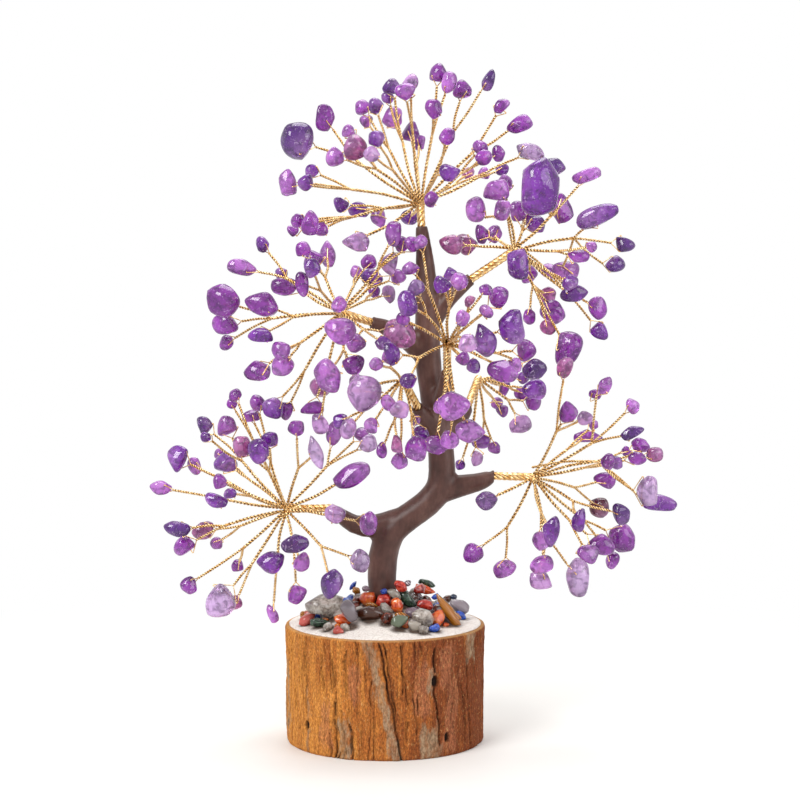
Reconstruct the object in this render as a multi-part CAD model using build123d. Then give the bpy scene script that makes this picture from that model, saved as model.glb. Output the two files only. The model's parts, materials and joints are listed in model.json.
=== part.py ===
from build123d import *
import math
import os
import random
from dataclasses import dataclass

import numpy as np

# Log base: a slice of trunk with its bark on, standing on the sawn face
LOG_TOP_D = 80.6
LOG_FOOT_D = 79.4
LOG_H = 47.0
BARK_T = 3.0
FIT_GAP = 0.12
BARK_CRACK_DEPTH = 1.3

# Bark cracks: (degrees round from the front, width, lowest point, highest point)
BARK_CRACKS = (
    (-64, 1.0, 4, 33),
    (-50, 1.4, 14, 42),
    (-29, 1.2, -1, 15),
    (-20, 1.0, -1, 9),
    (4, 1.8, -1, 48),
    (11, 1.0, 18, 44),
    (29, 1.4, 5, 40),
    (55, 1.2, 24, 38),
    (59, 1.0, -1, 16),
    (97, 1.6, 8, 48),
    (128, 1.2, -1, 30),
    (163, 1.8, -1, 48),
    (199, 1.2, 12, 40),
    (231, 1.6, -1, 36),
    (264, 1.2, 20, 48),
)

# White poured bed on the log's top: (radius, height above the log's top)
BED_R = 36.5
BED_PROFILE = ((BED_R, 1.0), (31.0, 1.8), (24.0, 3.6), (17.0, 6.6), (10.0, 9.0), (0.0, 9.8))

# Trunk: (x, z, diameter) along the main stem, all in the plane y = 0
TRUNK_FOOT_X = -1.0
TRUNK_FOOT_Z = 34.0
TRUNK_ROWS = (
    (TRUNK_FOOT_X, TRUNK_FOOT_Z, 11.2),
    (TRUNK_FOOT_X, 58.0, 11.4),
    (TRUNK_FOOT_X, 73.0, 11.8),
    (2.6, 84.0, 11.6),
    (9.7, 90.2, 11.2),
    (16.8, 95.4, 11.0),
    (21.6, 101.5, 11.0),
    (22.8, 108.5, 10.8),
    (22.2, 118.0, 10.4),
    (20.4, 131.0, 10.0),
    (18.0, 145.0, 10.0),
    (17.0, 157.0, 10.4),
    (17.0, 168.0, 10.0),
    (16.8, 178.0, 9.0),
    (16.2, 188.0, 8.0),
    (15.4, 198.0, 6.4),
    (14.5, 206.5, 4.9),
)
ROW_STEPS = 2
SECTION_SIDE = (0, -1, 0.001)
STUB_TIP_D = 5.0
CORE_D = 4.4
CORE_ROWS = (0, 2, 4, 6, 8, 10, 12, 14)
CORE_BEND_R = 8.0
CORE_END_GAP = 1.0

# Wire: a rope leaves each stub, its stems fork into twigs, each twig ends in a single-wire eye
ROPE_D = 3.0
SOCKET_GAP = 0.35
SOCKET_DEPTH = 2.6
KNUCKLE_D = 2.5
KNUCKLE_W = 1.6
STEM_D = 1.1
TWIG_D = 0.8
EYE_WIRE_D = 0.4
EYE_BEND_R = 0.25
EYE_REACH = 1.5
EYE_SIDE = 0.55
EYE_SPREAD = 0.6
STEM_START = 0.9
FORK_SHARE = 0.58

# Amethyst chips
CHIP_POINTS = 18
CHIP_FILL = 1.1
CHIP_THICKNESS = 0.78
CHIP_JITTER = 0.12
CHIP_TURN = 0.35
CHIP_TILT_DEG = 24
HOLE_D = 0.9
HOLE_OFFSET = 0.40

# Free space kept between the pieces of the sprays
TRUNK_ID = -1
SPRAY_SEED = 1000
CHIP_GAP = 0.5
SPRAY_GAP = 3.2
TRUNK_GAP = 1.2
BEAD_STEP = 1.5
DEPTH_STEP = 3.0
DEPTH_STEPS = 11
STAGGERS = (0, 5, -5, 8, -8, 11, -11)
PILE_TOP = 64.0
PILE_SLOPE = 0.36

# Stones of the bed: those in view and under them at places of their own, then small ones in the gaps
STONE_NAMES = (
    "quartz", "jasper", "carnelian", "aventurine", "tiger_eye", "lapis", "garnet", "agate",
)
STONE_COUNT = 150
STONE_HALF_LONG = (2.4, 4.2)
STONE_HALF_WIDE = (1.5, 2.4)
STONE_STEEP_DEG = 22
STONE_SEED = 11
STONE_TRIES = 90
STONE_BALLS = 5
STONE_PRESS = 1.1
STONE_NEST = 0.15
STONE_EDGE = 0.8
HEAP_DRAW = 0.05
HEAP_ROOM = 0.6
# x, y, degrees round, degrees up, long, wide, stone
LAID_STONES = (
    (11.5, -1.0, 80, 0, 7.0, 4.4, "garnet"),
    (16.0, -5.0, 30, 0, 6.6, 4.4, "agate"),
    (16.5, 3.0, 100, 10, 7.0, 4.6, "garnet"),
    (12.0, 8.5, 20, 0, 6.4, 4.4, "agate"),
    (21.5, -1.5, 70, 0, 6.6, 4.2, "garnet"),
    (13.8, 1.5, 60, 0, 6.8, 4.4, "jasper"),
    (-11.0, 3.0, 80, 0, 6.4, 4.2, "garnet"),
    (-15.0, -2.0, 60, 0, 6.6, 4.4, "lapis"),
    (-25.9, -17.5, 12, -5, 8.1, 3.5, "aventurine"),
    (-18.1, -23.0, 30, 20, 3.6, 2.7, "tiger_eye"),
    (-15.5, -25.0, -20, -20, 3.7, 3.1, "quartz"),
    (-30.9, -10.5, 25, 30, 7.0, 4.2, "jasper"),
    (11.6, -27.0, 10, -35, 5.5, 3.9, "quartz"),
    (7.3, -24.5, -15, -35, 4.9, 3.1, "carnelian"),
    (23.9, -17.0, 20, 10, 2.9, 2.0, "carnelian"),
    (-24.0, -11.5, -20, 20, 3.4, 2.2, "tiger_eye"),
    (-16.4, -20.0, 15, -15, 6.9, 4.3, "carnelian"),
    (-23.1, -8.0, -25, 15, 5.3, 3.6, "quartz"),
    (-26.6, 2.0, 10, 25, 4.5, 2.6, "jasper"),
    (14.9, -21.5, 10, -25, 8.8, 6.7, "quartz"),
    (20.8, -17.5, 0, 65, 6.7, 5.1, "carnelian"),
    (5.6, -27.5, -10, 15, 6.7, 4.3, "aventurine"),
    (24.0, -10.0, 20, -55, 5.9, 3.6, "agate"),
    (-24.2, -11.5, 10, 8, 15.3, 7.9, "quartz"),
    (-14.0, -23.0, 0, -65, 8.6, 5.5, "agate"),
    (-6.0, -19.0, 0, 0, 10.2, 5.5, "garnet"),
    (25.0, -13.0, -10, -55, 14.5, 4.2, "tiger_eye"),
    (30.5, 0.5, 20, -40, 4.7, 3.2, "lapis"),
    (0.6, -15.5, 0, -25, 5.5, 4.1, "quartz"),
    (5.0, -13.5, 0, -70, 6.3, 4.6, "carnelian"),
    (17.0, -9.0, 25, -10, 5.7, 3.6, "agate"),
    (21.9, 11.5, 0, 15, 5.7, 4.5, "agate"),
    (15.9, -12.0, 5, -20, 6.8, 3.8, "jasper"),
    (30.0, 3.5, 0, -30, 7.7, 5.3, "agate"),
    (9.2, -7.0, 0, -50, 9.2, 4.0, "aventurine"),
    (-0.3, -9.0, 0, 10, 6.0, 5.0, "jasper"),
    (-6.7, -7.5, 0, 40, 6.4, 6.0, "carnelian"),
    (-13.9, 7.5, 20, 0, 5.2, 4.1, "lapis"),
    (25.3, 11.5, 0, 20, 3.7, 2.9, "garnet"),
    (3.6, -9.5, 0, -35, 6.0, 3.2, "quartz"),
    (11.9, 11.5, 0, 25, 6.1, 2.9, "quartz"),
    (20.1, -10.0, 0, 30, 3.2, 2.4, "lapis"),
    (-11.7, 6.5, 0, -40, 3.6, 2.8, "tiger_eye"),
    (-0.3, -8.5, 0, 0, 2.8, 2.4, "lapis"),
    (16.1, 9.0, 0, -20, 8.1, 3.5, "carnelian"),
    (6.2, -9.5, 0, -45, 5.6, 4.0, "jasper"),
    (27.9, 10.5, 0, 0, 2.9, 2.0, "lapis"),
    (-13.1, 7.5, 0, 50, 4.1, 1.8, "lapis"),
    (-7.6, -7.0, 0, 0, 3.2, 2.4, "agate"),
    (16.7, 11.5, 0, -15, 7.3, 2.9, "aventurine"),
    (8.9, -7.5, 0, 10, 3.2, 2.4, "agate"),
)
# The bare white strips at the rim: degrees round from the front, from and to, and the least radius
BARE_STRIPS = ((-24, 14, 23.0), (40, 115, 30.0))


@dataclass
class Spray:
    """One fan of wire and chips, its stub, and the way its rope can be bent."""

    name: str
    tip: tuple
    hub: tuple
    stub: tuple
    bends_fore_and_aft: bool
    stems: tuple


# In the stems each chip is (across, up, toward the viewer, wide, tall), counted from the hub
CROWN = Spray(
    "crown",
    (14.5, 0, 206.5),
    (14.0, 0, 215.0),
    (),
    True,
    (
        ((-49, 25, 2, 12, 15), (-38, 34, -4, 7, 10)),
        ((-52, 8, 8, 7, 11), (-45, 8, 14, 6, 6), (-43, 13, 4, 5, 5)),
        ((-33, 18, 20, 7, 7), (-28, 28, 14, 5, 5), (-25, 21, 26, 8, 10)),
        ((-17, 24, 30, 6, 6), (-19, 18, 34, 6, 6)),
        ((-23, 39, -14, 6, 6), (-18, 40, -20, 6, 6), (-22, 34, -24, 5, 5)),
        ((-11, 47, -10, 8, 6), (-13, 43, -18, 5, 5), (-11, 35, -22, 8, 8)),
        ((-4, 47, 12, 6, 6), (-6, 43, 18, 8, 6)),
        ((-4, 30, -30, 7, 8), (0, 26, -34, 5, 6)),
        ((5, 36, 20, 6, 7), (7, 51, 8, 7, 7), (11, 47, 14, 6, 8)),
        ((17, 46, -8, 7, 7), (27, 49, -4, 5, 8)),
        ((32, 38, 8, 6, 5), (39, 31, 12, 10, 6)),
        ((10, 25, 32, 6, 6), (11, 11, 36, 8, 6)),
        ((44, 21, -6, 11, 6), (33, 14, -12, 5, 5)),
        ((23, 21, 24, 6, 6), (30, 19, 20, 5, 6), (24, 17, 30, 6, 6)),
        ((20, 13, -28, 5, 5), (26, 13, -24, 5, 5)),
        ((4, 1, 30, 5, 6),),
        ((-4, -5, -24, 7, 6),),
        ((-32, 0, -18, 6, 6), (-25, -2, -24, 8, 6), (-17, -5, -28, 6, 8)),
        ((-47, -7, 6, 5, 5), (-42, -8, 12, 6, 9), (-38, -10, 2, 5, 6), (-49, -11, -2, 4, 4)),
        ((-25, -15, 22, 10, 7),),
    ),
)

UPPER_RIGHT = Spray(
    "upper_right",
    (34.5, -3, 185.5),
    (52.0, -5, 197.0),
    ((19.0, 0, 169.0, 8.4), (25.5, -1, 178.0, 7.0)),
    True,
    (
        ((-9, 23, 18, 11, 8), (-5, 26, 10, 6, 6)),
        ((8, 24, 16, 15, 20), (15, 33, -4, 8, 6)),
        ((28, 29, 0, 12, 5), (19, 16, -14, 8, 12)),
        ((32, 13, 8, 16, 8), (43, 2, -2, 8, 6)),
        ((-17, 15, 20, 8, 10), (-7, 15, 26, 7, 8)),
        ((1, 15, -22, 6, 8), (5, 14, -30, 6, 8), (8, 10, -24, 7, 6)),
        ((-13, 6, -18, 5, 8), (-8, 6, -24, 6, 7)),
        ((-26, 2, -12, 9, 7), (-19, 2, -18, 8, 8)),
        ((-1, -6, 26, 8, 12),),
        ((23, -3, 20, 8, 5), (27, 1, 26, 4, 4)),
        ((40, -6, -8, 7, 7), (21, -9, -16, 12, 8)),
        ((7, -10, -24, 6, 8), (14, -9, -28, 6, 6)),
        ((20, -13, 18, 6, 6), (22, -17, 12, 10, 6)),
        ((14, -19, -20, 7, 7), (16, -25, -14, 10, 9), (6, -27, -18, 5, 6)),
        ((32, -23, 6, 7, 9), (33, -32, 0, 7, 7)),
        ((13, -31, -8, 6, 6), (21, -40, -4, 10, 14)),
    ),
)

UPPER_LEFT = Spray(
    "upper_left",
    (-5.7, -5, 168.3),
    (-17.5, -8, 172.0),
    ((16.0, 0, 155.0, 9.0), (5.0, -3, 164.0, 7.2)),
    True,
    (
        ((-31, 27, -6, 5, 6), (-39, 18, 0, 11, 6)),
        ((-46, 5, 6, 12, 12), (-46, -4, -4, 10, 8), (-46, -12, -10, 6, 6)),
        ((-30, 4, 16, 12, 9), (-30, -8, 22, 9, 6)),
        ((-33, -23, 4, 10, 8), (-22, -20, 12, 8, 8), (-22, -14, 18, 7, 7)),
        ((-23, 10, -18, 11, 7), (-25, 15, -24, 5, 5)),
        ((-14, 12, 24, 5, 9), (-10, 18, 30, 6, 7)),
        ((-15, 25, -14, 6, 6), (-11, 21, -22, 8, 7), (-6, 23, -28, 6, 10)),
        ((11, 20, -20, 6, 6), (6, 16, -26, 5, 5)),
        ((19, 19, -8, 7, 9), (12, 14, -14, 8, 7), (23, 14, -14, 6, 6)),
        ((21, 31, 6, 6, 10), (24, 27, -2, 6, 6), (28, 27, 4, 6, 6)),
        ((13, 8, -24, 5, 5), (19, 7, -20, 5, 7)),
        ((0, 4, 26, 6, 6), (1, -6, 30, 11, 10)),
        ((17, -11, 14, 6, 5), (23, -8, 8, 12, 12), (6, -11, 20, 8, 7)),
        ((-4, -23, 14, 10, 13), (5, -20, 6, 8, 7), (6, -28, 2, 5, 5)),
        ((-9, -30, -12, 8, 9), (-11, -38, -6, 9, 5), (-8, -44, -12, 6, 8)),
        ((-27, -38, -6, 8, 8), (-22, -40, -12, 5, 7)),
    ),
)

FRONT = Spray(
    "front",
    (24.5, -14, 149.0),
    (24.0, -33, 161.0),
    ((21.0, 0, 133.0, 8.2), (23.5, -9, 142.0, 6.6)),
    False,
    (
        ((-10, 39, 8, 5, 5), (-14, 29, 14, 6, 5)),
        ((-12, 22, 20, 6, 6), (-15, 16, 26, 7, 9)),
        ((1, 27, 12, 5, 5), (4, 24, 18, 6, 6), (-2, 23, 24, 6, 6)),
        ((14, 21, 20, 5, 4), (8, 17, 28, 4, 4)),
        ((19, 18, 14, 7, 8), (14, 13, 22, 5, 5)),
        ((5, 11, 34, 5, 6), (7, 2, 38, 7, 6)),
        ((14, 2, 24, 8, 12), (24, 7, 18, 9, 12)),
        ((30, -2, 6, 7, 8), (33, -9, 12, 9, 7)),
        ((20, -9, 28, 11, 8), (25, -7, 20, 5, 5)),
        ((5, -4, 30, 5, 5), (9, -7, 36, 5, 5)),
        ((2, -22, 24, 12, 10), (-2, -23, 14, 6, 6)),
        ((8, -32, 16, 11, 8), (1, -36, 12, 7, 7)),
        ((-4, -39, 4, 10, 7),),
        ((-15, -13, 22, 6, 6), (-21, -3, 16, 6, 8)),
        ((-17, 10, 22, 5, 5),),
    ),
)

FRONT_LEFT = Spray(
    "front_left",
    (12.8, -9, 135.0),
    (7.0, -22, 146.5),
    ((20.5, 0, 123.0, 8.0), (16.0, -6, 130.0, 6.6)),
    False,
    (
        ((-14, -4, 20, 12, 13), (-18, 0, 8, 5, 5)),
        ((-5, -7, 28, 6, 6), (-12, -16, 24, 5, 6)),
        ((-24, -16, 6, 6, 6), (-21, -18, 14, 6, 8)),
        ((-8, -26, 16, 4, 6), (-2, -23, 22, 4, 6)),
        ((-1, -9, 30, 7, 6), (-1, -30, 20, 6, 6)),
        ((5, -25, 14, 8, 10), (7, -21, 6, 6, 6), (5, -16, 12, 4, 4)),
        ((-10, 7, 22, 5, 5), (-5, 10, 16, 6, 6)),
    ),
)

REAR_RIGHT = Spray(
    "rear_right",
    (33.0, 5, 133.5),
    (38.0, 21, 144.0),
    ((21.5, 0, 121.0, 8.0), (30.0, 1.6, 129.5, 6.4)),
    False,
    (
        ((12, -5, -24, 5, 7), (8, -2, -30, 4, 4)),
        ((19, 0, -10, 5, 5), (24, 1, -16, 6, 6)),
        ((23, -4, -8, 10, 8), (19, -7, -16, 6, 6)),
        ((23, -10, -4, 6, 7), (18, -19, -10, 9, 7)),
        ((9, -12, -24, 5, 5), (11, -15, -30, 5, 5)),
        ((2, -27, -16, 8, 6), (7, -29, -10, 5, 5)),
        ((0, -33, -4, 5, 6), (-7, -36, -8, 4, 4)),
    ),
)

LOWER_RIGHT = Spray(
    "lower_right",
    (44.0, 0, 106.5),
    (59.4, 0, 106.0),
    ((21.0, 0, 100.0, 10.4), (31.0, 0, 102.7, 8.7), (37.5, 0, 104.0, 7.2)),
    True,
    (
        ((28, 37, 4, 5, 7), (25, 33, -4, 5, 4)),
        ((39, 29, 6, 5, 6), (38, 19, 14, 9, 5)),
        ((13, 27, 22, 7, 8), (18, 26, 28, 6, 5), (11, 45, 8, 6, 8)),
        ((26, 19, -22, 4, 4), (24, 14, -28, 11, 5)),
        ((44, 12, -8, 7, 6), (39, 9, -16, 4, 4), (49, 9, -2, 7, 6)),
        ((40, 9, 14, 7, 5), (31, 8, 22, 5, 5), (27, 9, 28, 5, 7)),
        ((31, -4, -24, 9, 6), (29, -16, -28, 8, 8)),
        ((45, -5, 6, 8, 12), (51, -11, -6, 14, 6)),
        ((34, -13, 16, 6, 9), (16, -14, 26, 5, 9)),
        ((36, -25, -4, 10, 11), (33, -35, -10, 5, 7)),
        ((26, -26, 12, 10, 8), (20, -28, 18, 8, 7)),
        ((5, -18, 28, 6, 11), (2, -23, 22, 7, 7)),
        ((3, -34, 4, 9, 7), (3, -42, -2, 9, 7), (18, -41, 6, 9, 15)),
        ((-11, -38, -4, 9, 7), (-24, -30, 4, 8, 8)),
        ((-19, -8, 12, 8, 7),),
    ),
)

LOWER_LEFT = Spray(
    "lower_left",
    (-21.5, 0, 93.5),
    (-39.6, 0, 93.2),
    ((6.0, 0, 89.5, 8.5), (-4.0, 0, 86.2, 9.5), (-12.7, 0, 87.2, 7.5)),
    True,
    (
        ((-20, 46, 4, 5, 5), (-22, 42, -4, 4, 4)),
        ((-12, 42, -8, 6, 6), (-15, 36, -16, 8, 5)),
        ((5, 34, 16, 6, 6), (13, 25, 22, 5, 12)),
        ((-32, 34, 4, 6, 7), (-31, 30, 12, 4, 4), (-24, 33, -4, 8, 8)),
        ((-44, 20, -4, 8, 10), (-38, 16, -12, 5, 7)),
        ((-50, 9, 4, 8, 5), (-26, 6, 22, 9, 5)),
        ((-26, 17, -20, 9, 8), (-29, 19, -28, 5, 5)),
        ((-24, 14, 26, 5, 6), (-20, 10, 32, 5, 4)),
        ((-16, 27, 22, 7, 8), (-9, 26, 28, 8, 9), (-5, 30, 22, 6, 6)),
        ((-43, -7, 8, 10, 6), (-41, -15, 0, 8, 7)),
        ((-35, -11, -16, 9, 7), (-30, -17, -22, 5, 5)),
        ((-39, -30, 4, 6, 7), (-21, -26, -20, 5, 5)),
        ((-26, -36, 6, 11, 13), (-21, -39, -6, 5, 6)),
        ((-5, -18, 26, 11, 8), (-5, -41, 10, 4, 8)),
        ((5, -32, 18, 7, 7), (5, -10, 28, 10, 7), (7, -18, 24, 6, 8)),
        ((19, -25, 34, 8, 11), (30, -18, 20, 7, 9)),
        ((20, 0, 14, 8, 7), (33, -4, 16, 7, 9)),
        ((27, 15, 14, 15, 9),),
        ((19, 30, -6, 6, 10), (30, 29, -12, 6, 6), (33, 26, -4, 7, 7)),
    ),
)

SPRAYS = (
    FRONT, FRONT_LEFT, REAR_RIGHT, UPPER_LEFT, UPPER_RIGHT, CROWN, LOWER_RIGHT, LOWER_LEFT,
)


def unit(vector):
    """The vector's direction at length one."""
    vector = np.asarray(vector, dtype=float)
    return vector / np.linalg.norm(vector)


def hinge_axis(spray):
    """The line a spray's rope bends about, square to the rope at the stub's mouth."""
    rope = unit(np.subtract(spray.hub, spray.tip))
    other = (0, 1, 0) if spray.bends_fore_and_aft else (0, 0, 1)
    return unit(np.cross(rope, other))


def rod(start, end, diameter):
    """A straight round wire between two points."""
    start = Vector(*start)
    end = Vector(*end)
    plane = Plane(origin=start, z_dir=end - start)
    return Solid.make_cylinder(diameter / 2, (end - start).length, plane)


def group(solids):
    """Several separate solids as one node."""
    return Compound(children=list(solids))


# Clear space: every piece is tested as a row of small balls
def rod_beads(start, end, diameter):
    """Ball centres and radii along a straight wire."""
    start = np.asarray(start, dtype=float)
    end = np.asarray(end, dtype=float)
    count = max(2, int(np.linalg.norm(end - start) / BEAD_STEP) + 1)
    share = np.linspace(0, 1, count)[:, None]
    return start + share * (end - start), np.full(count, diameter / 2)


@dataclass
class Chip:
    """One drilled amethyst chip: place, half sizes in its own frame, tilt in the front view."""

    centre: np.ndarray
    half: np.ndarray
    tilt: float
    eye_turn: float

    def to_own(self, vector):
        """A direction in the chip's own frame."""
        c = math.cos(self.tilt)
        s = math.sin(self.tilt)
        x, y, z = vector
        return np.array((c * x + s * z, y, c * z - s * x))

    def to_row(self, vector):
        """A direction from the chip's own frame in the common frame."""
        c = math.cos(self.tilt)
        s = math.sin(self.tilt)
        x, y, z = vector
        return np.array((c * x - s * z, y, c * z + s * x))

    def axes(self):
        """The chip's own directions in the common frame, as columns."""
        return np.column_stack([self.to_row(way) for way in np.eye(3)])

    def beads(self):
        """Three balls along the chip's longer side."""
        long_side = 0 if self.half[0] >= self.half[2] else 2
        radius = min(self.half[0], self.half[2])
        offset = np.zeros(3)
        offset[long_side] = max(self.half) - radius
        offset = self.to_row(offset)
        points = np.array((self.centre - offset, self.centre, self.centre + offset))
        return points, np.full(3, radius)

    def reach(self, start, direction):
        """From a point inside, how far the chip goes in a direction."""
        p = self.to_own(start - self.centre) / self.half
        q = self.to_own(direction) / self.half
        half_b = p @ q
        square = q @ q
        return (math.sqrt(half_b**2 - square * (p @ p - 1)) - half_b) / square


@dataclass
class Stem:
    """One stem of a spray with the fork it ends in and the chips on its twigs."""

    fork: np.ndarray
    chips: list


class Crowd:
    """All balls placed so far, with the spray each belongs to."""

    def __init__(self):
        self.points = np.zeros((0, 3))
        self.radii = np.zeros(0)
        self.sprays = np.zeros(0, dtype=int)
        self.wires = np.zeros(0, dtype=bool)

    def add(self, beads, spray, is_wire):
        """Add a piece's balls."""
        points, radii = beads
        self.points = np.vstack((self.points, points))
        self.radii = np.concatenate((self.radii, radii))
        self.sprays = np.concatenate((self.sprays, np.full(len(radii), spray)))
        self.wires = np.concatenate((self.wires, np.full(len(radii), is_wire)))

    def room(self, beads, spray, is_wire):
        """The least free space round a new piece, less the gap that it needs."""
        points, radii = beads
        between = np.linalg.norm(points[:, None] - self.points[None], axis=2)
        between = between - radii[:, None] - self.radii[None]
        need = np.where(self.sprays == spray, CHIP_GAP, SPRAY_GAP)
        need = np.where(self.sprays == TRUNK_ID, TRUNK_GAP, need)
        between = between - need[None]
        if is_wire:
            between = np.where((self.wires & (self.sprays == spray))[None], np.inf, between)
        return between.min()


def pile_room(beads):
    """Free height of a chip over the stones of the bed."""
    points, radii = beads
    over = PILE_TOP - PILE_SLOPE * np.hypot(points[:, 0], points[:, 1])
    inside = np.hypot(points[:, 0], points[:, 1]) < LOG_TOP_D / 2 + radii
    return np.where(inside, points[:, 2] - radii - over, np.inf).min()


def hole_place(chip, fork):
    """Where the hole is drilled: its middle and its direction, square to the twig."""
    along = unit(chip.centre - fork)
    side = unit(np.cross(along, (0, 1, 0)))
    front = np.cross(side, along)
    across = side * math.cos(chip.eye_turn) + front * math.sin(chip.eye_turn)
    middle = chip.centre - along * HOLE_OFFSET * chip.reach(chip.centre, -along)
    return middle, across, along


def twig_end(chip, fork):
    """The point where the twisted twig opens into the eye."""
    middle, _, along = hole_place(chip, fork)
    return middle - along * (chip.reach(middle, -along) + EYE_REACH)


def make_stem(spray, rows, shift, stagger, rng_seed):
    """A stem at a trial depth; its chips step back and forth by the stagger."""
    rng = random.Random(rng_seed)
    hub = np.array(spray.hub, dtype=float)
    chips = []
    for place, (across, up, toward, wide, tall) in enumerate(rows):
        step = stagger * (place - (len(rows) - 1) / 2)
        centre = hub + np.array((across, -(toward + shift + step), up))
        thick = CHIP_THICKNESS * min(wide, tall)
        half = CHIP_FILL * np.array((wide, thick, tall)) / 2
        tilt = math.radians(rng.uniform(-CHIP_TILT_DEG, CHIP_TILT_DEG))
        chips.append(Chip(centre, half, tilt, rng.uniform(0, math.pi)))
    mean = sum(chip.centre for chip in chips) / len(chips)
    return Stem(hub + FORK_SHARE * (mean - hub), chips)


def stem_room(stem, spray, number, crowd):
    """The least room of a stem's wires and chips among all pieces placed before it."""
    rooms = [crowd.room(rod_beads(spray.hub, stem.fork, STEM_D), number, True)]
    own = Crowd()
    for chip in stem.chips:
        twig = rod_beads(stem.fork, twig_end(chip, stem.fork), TWIG_D)
        stone = chip.beads()
        rooms += [crowd.room(twig, number, True), crowd.room(stone, number, False)]
        rooms.append(pile_room(stone))
        if len(own.radii):
            rooms += [own.room(stone, number, False), own.room(twig, number, True)]
        own.add(stone, number, False)
        own.add(twig, number, True)
    return min(rooms)


def place_stem(spray, number, place, rows, crowd):
    """The first depth at which a stem is clear of all that stands already."""
    seed = number * SPRAY_SEED + place
    best = None
    for count in range(2 * DEPTH_STEPS + 1):
        side = 1 if count % 2 else -1
        shift = side * DEPTH_STEP * ((count + 1) // 2)
        for stagger in STAGGERS[:1] if len(rows) == 1 else STAGGERS:
            stem = make_stem(spray, rows, shift, stagger, seed)
            room = stem_room(stem, spray, number, crowd)
            if best is None or room > best[0]:
                best = (room, stem)
            if room >= 0:
                return stem
    print(f"{spray.name} stem {place}: short of room by {-best[0]:.2f} mm")
    return best[1]


def trunk_beads(crowd):
    """Balls along the trunk and its stubs."""
    lines = [[(x, 0, z, d) for x, z, d in TRUNK_ROWS]]
    lines += [list(s.stub) + [(*s.tip, STUB_TIP_D)] for s in SPRAYS if s.stub]
    for line in lines:
        for low, high in zip(line, line[1:]):
            crowd.add(rod_beads(low[:3], high[:3], max(low[3], high[3])), TRUNK_ID, False)


def place_sprays():
    """All stems of all sprays, each clear of the ones before."""
    crowd = Crowd()
    trunk_beads(crowd)
    for number, spray in enumerate(SPRAYS):
        crowd.add(rod_beads(np.add(spray.tip, spray.hub) / 2, spray.hub, ROPE_D), number, True)
    placed = {}
    for number, spray in enumerate(SPRAYS):
        stems = []
        for place, rows in enumerate(spray.stems):
            stem = place_stem(spray, number, place, rows, crowd)
            stems.append(stem)
            crowd.add(rod_beads(spray.hub, stem.fork, STEM_D), number, True)
            for chip in stem.chips:
                crowd.add(chip.beads(), number, False)
                crowd.add(rod_beads(stem.fork, twig_end(chip, stem.fork), TWIG_D), number, True)
        placed[spray.name] = stems
    return placed


def tumbled(centre, half, axes, rng):
    """A tumbled stone: a many-sided convex body inside an ellipsoid."""
    golden = math.pi * (3 - math.sqrt(5))
    points = []
    for place in range(CHIP_POINTS):
        height = 1 - 2 * (place + 0.5) / CHIP_POINTS
        turn = place * golden + rng.uniform(-CHIP_TURN, CHIP_TURN)
        ring = math.sqrt(1 - height**2)
        scale = 1 - rng.uniform(0, CHIP_JITTER)
        own = half * scale * np.array((ring * math.cos(turn), height, ring * math.sin(turn)))
        points.append(tuple(centre + axes @ own))
    return ConvexPolyhedron(points).solids()[0]


def drilled_chip(chip, fork, rng):
    """An amethyst chip with the hole its eye passes through."""
    stone = tumbled(chip.centre, chip.half, chip.axes(), rng)
    middle, across, _ = hole_place(chip, fork)
    span = max(chip.half) * 2
    drill = rod(middle - across * span, middle + across * span, HOLE_D)
    return (stone - drill).solids()[0]


def eye(chip, fork):
    """The single wire that leaves the twig, goes through the hole and comes back."""
    middle, across, along = hole_place(chip, fork)
    root = twig_end(chip, fork) + along * EYE_WIRE_D / 2
    right = middle + across * (chip.reach(middle, across) + EYE_SIDE)
    left = middle - across * (chip.reach(middle, -across) + EYE_SIDE)
    spread = across * EYE_WIRE_D * EYE_SPREAD
    corners = [Vector(*p) for p in (root + spread, right, left, root - spread)]
    path = FilletPolyline(*corners, radius=EYE_BEND_R)
    section = Plane(origin=path @ 0, z_dir=path % 0) * Circle(EYE_WIRE_D / 2)
    return sweep(section, path=path).solids()[0]


def rope(spray):
    """The twisted rope as a plain round bar, with the knuckle it bends about in the socket."""
    axis = hinge_axis(spray)
    tip = np.array(spray.tip, dtype=float)
    knuckle = rod(tip - axis * KNUCKLE_W / 2, tip + axis * KNUCKLE_W / 2, KNUCKLE_D)
    end = Solid.make_sphere(ROPE_D / 2, Plane(origin=spray.hub))
    return (rod(spray.tip, spray.hub, ROPE_D) + knuckle + end).solids()[0]


def eased(rows):
    """Rows of a stem with more of them in between, on a smooth line."""
    rows = [np.array(row, dtype=float) for row in rows]
    ends = [2 * rows[0] - rows[1], *rows, 2 * rows[-1] - rows[-2]]
    made = []
    for a, b, c, d in zip(ends, ends[1:], ends[2:], ends[3:]):
        for t in np.arange(ROW_STEPS) / ROW_STEPS:
            bend = (2 * a - 5 * b + 4 * c - d) * t**2 + (3 * b - a - 3 * c + d) * t**3
            made.append(b + ((c - a) * t + bend) / 2)
    return [*made, rows[-1]]


def tube_sections(rows, first_dir, last_dir):
    """Round sections square to a line of (x, y, z, diameter) rows, without twist."""
    points = [np.array(row[:3], dtype=float) for row in rows]
    sections = []
    side = None
    for place, row in enumerate(rows):
        low = points[max(place - 1, 0)]
        high = points[min(place + 1, len(points) - 1)]
        direction = unit(high - low)
        if place == 0 and first_dir is not None:
            direction = first_dir
        if place == len(rows) - 1 and last_dir is not None:
            direction = last_dir
        if side is None:
            side = np.cross(direction, SECTION_SIDE)
        side = unit(side - direction * (side @ direction))
        plane = Plane(origin=tuple(points[place]), x_dir=tuple(side), z_dir=tuple(direction))
        sections.append(plane * Circle(row[3] / 2))
    return sections


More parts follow.
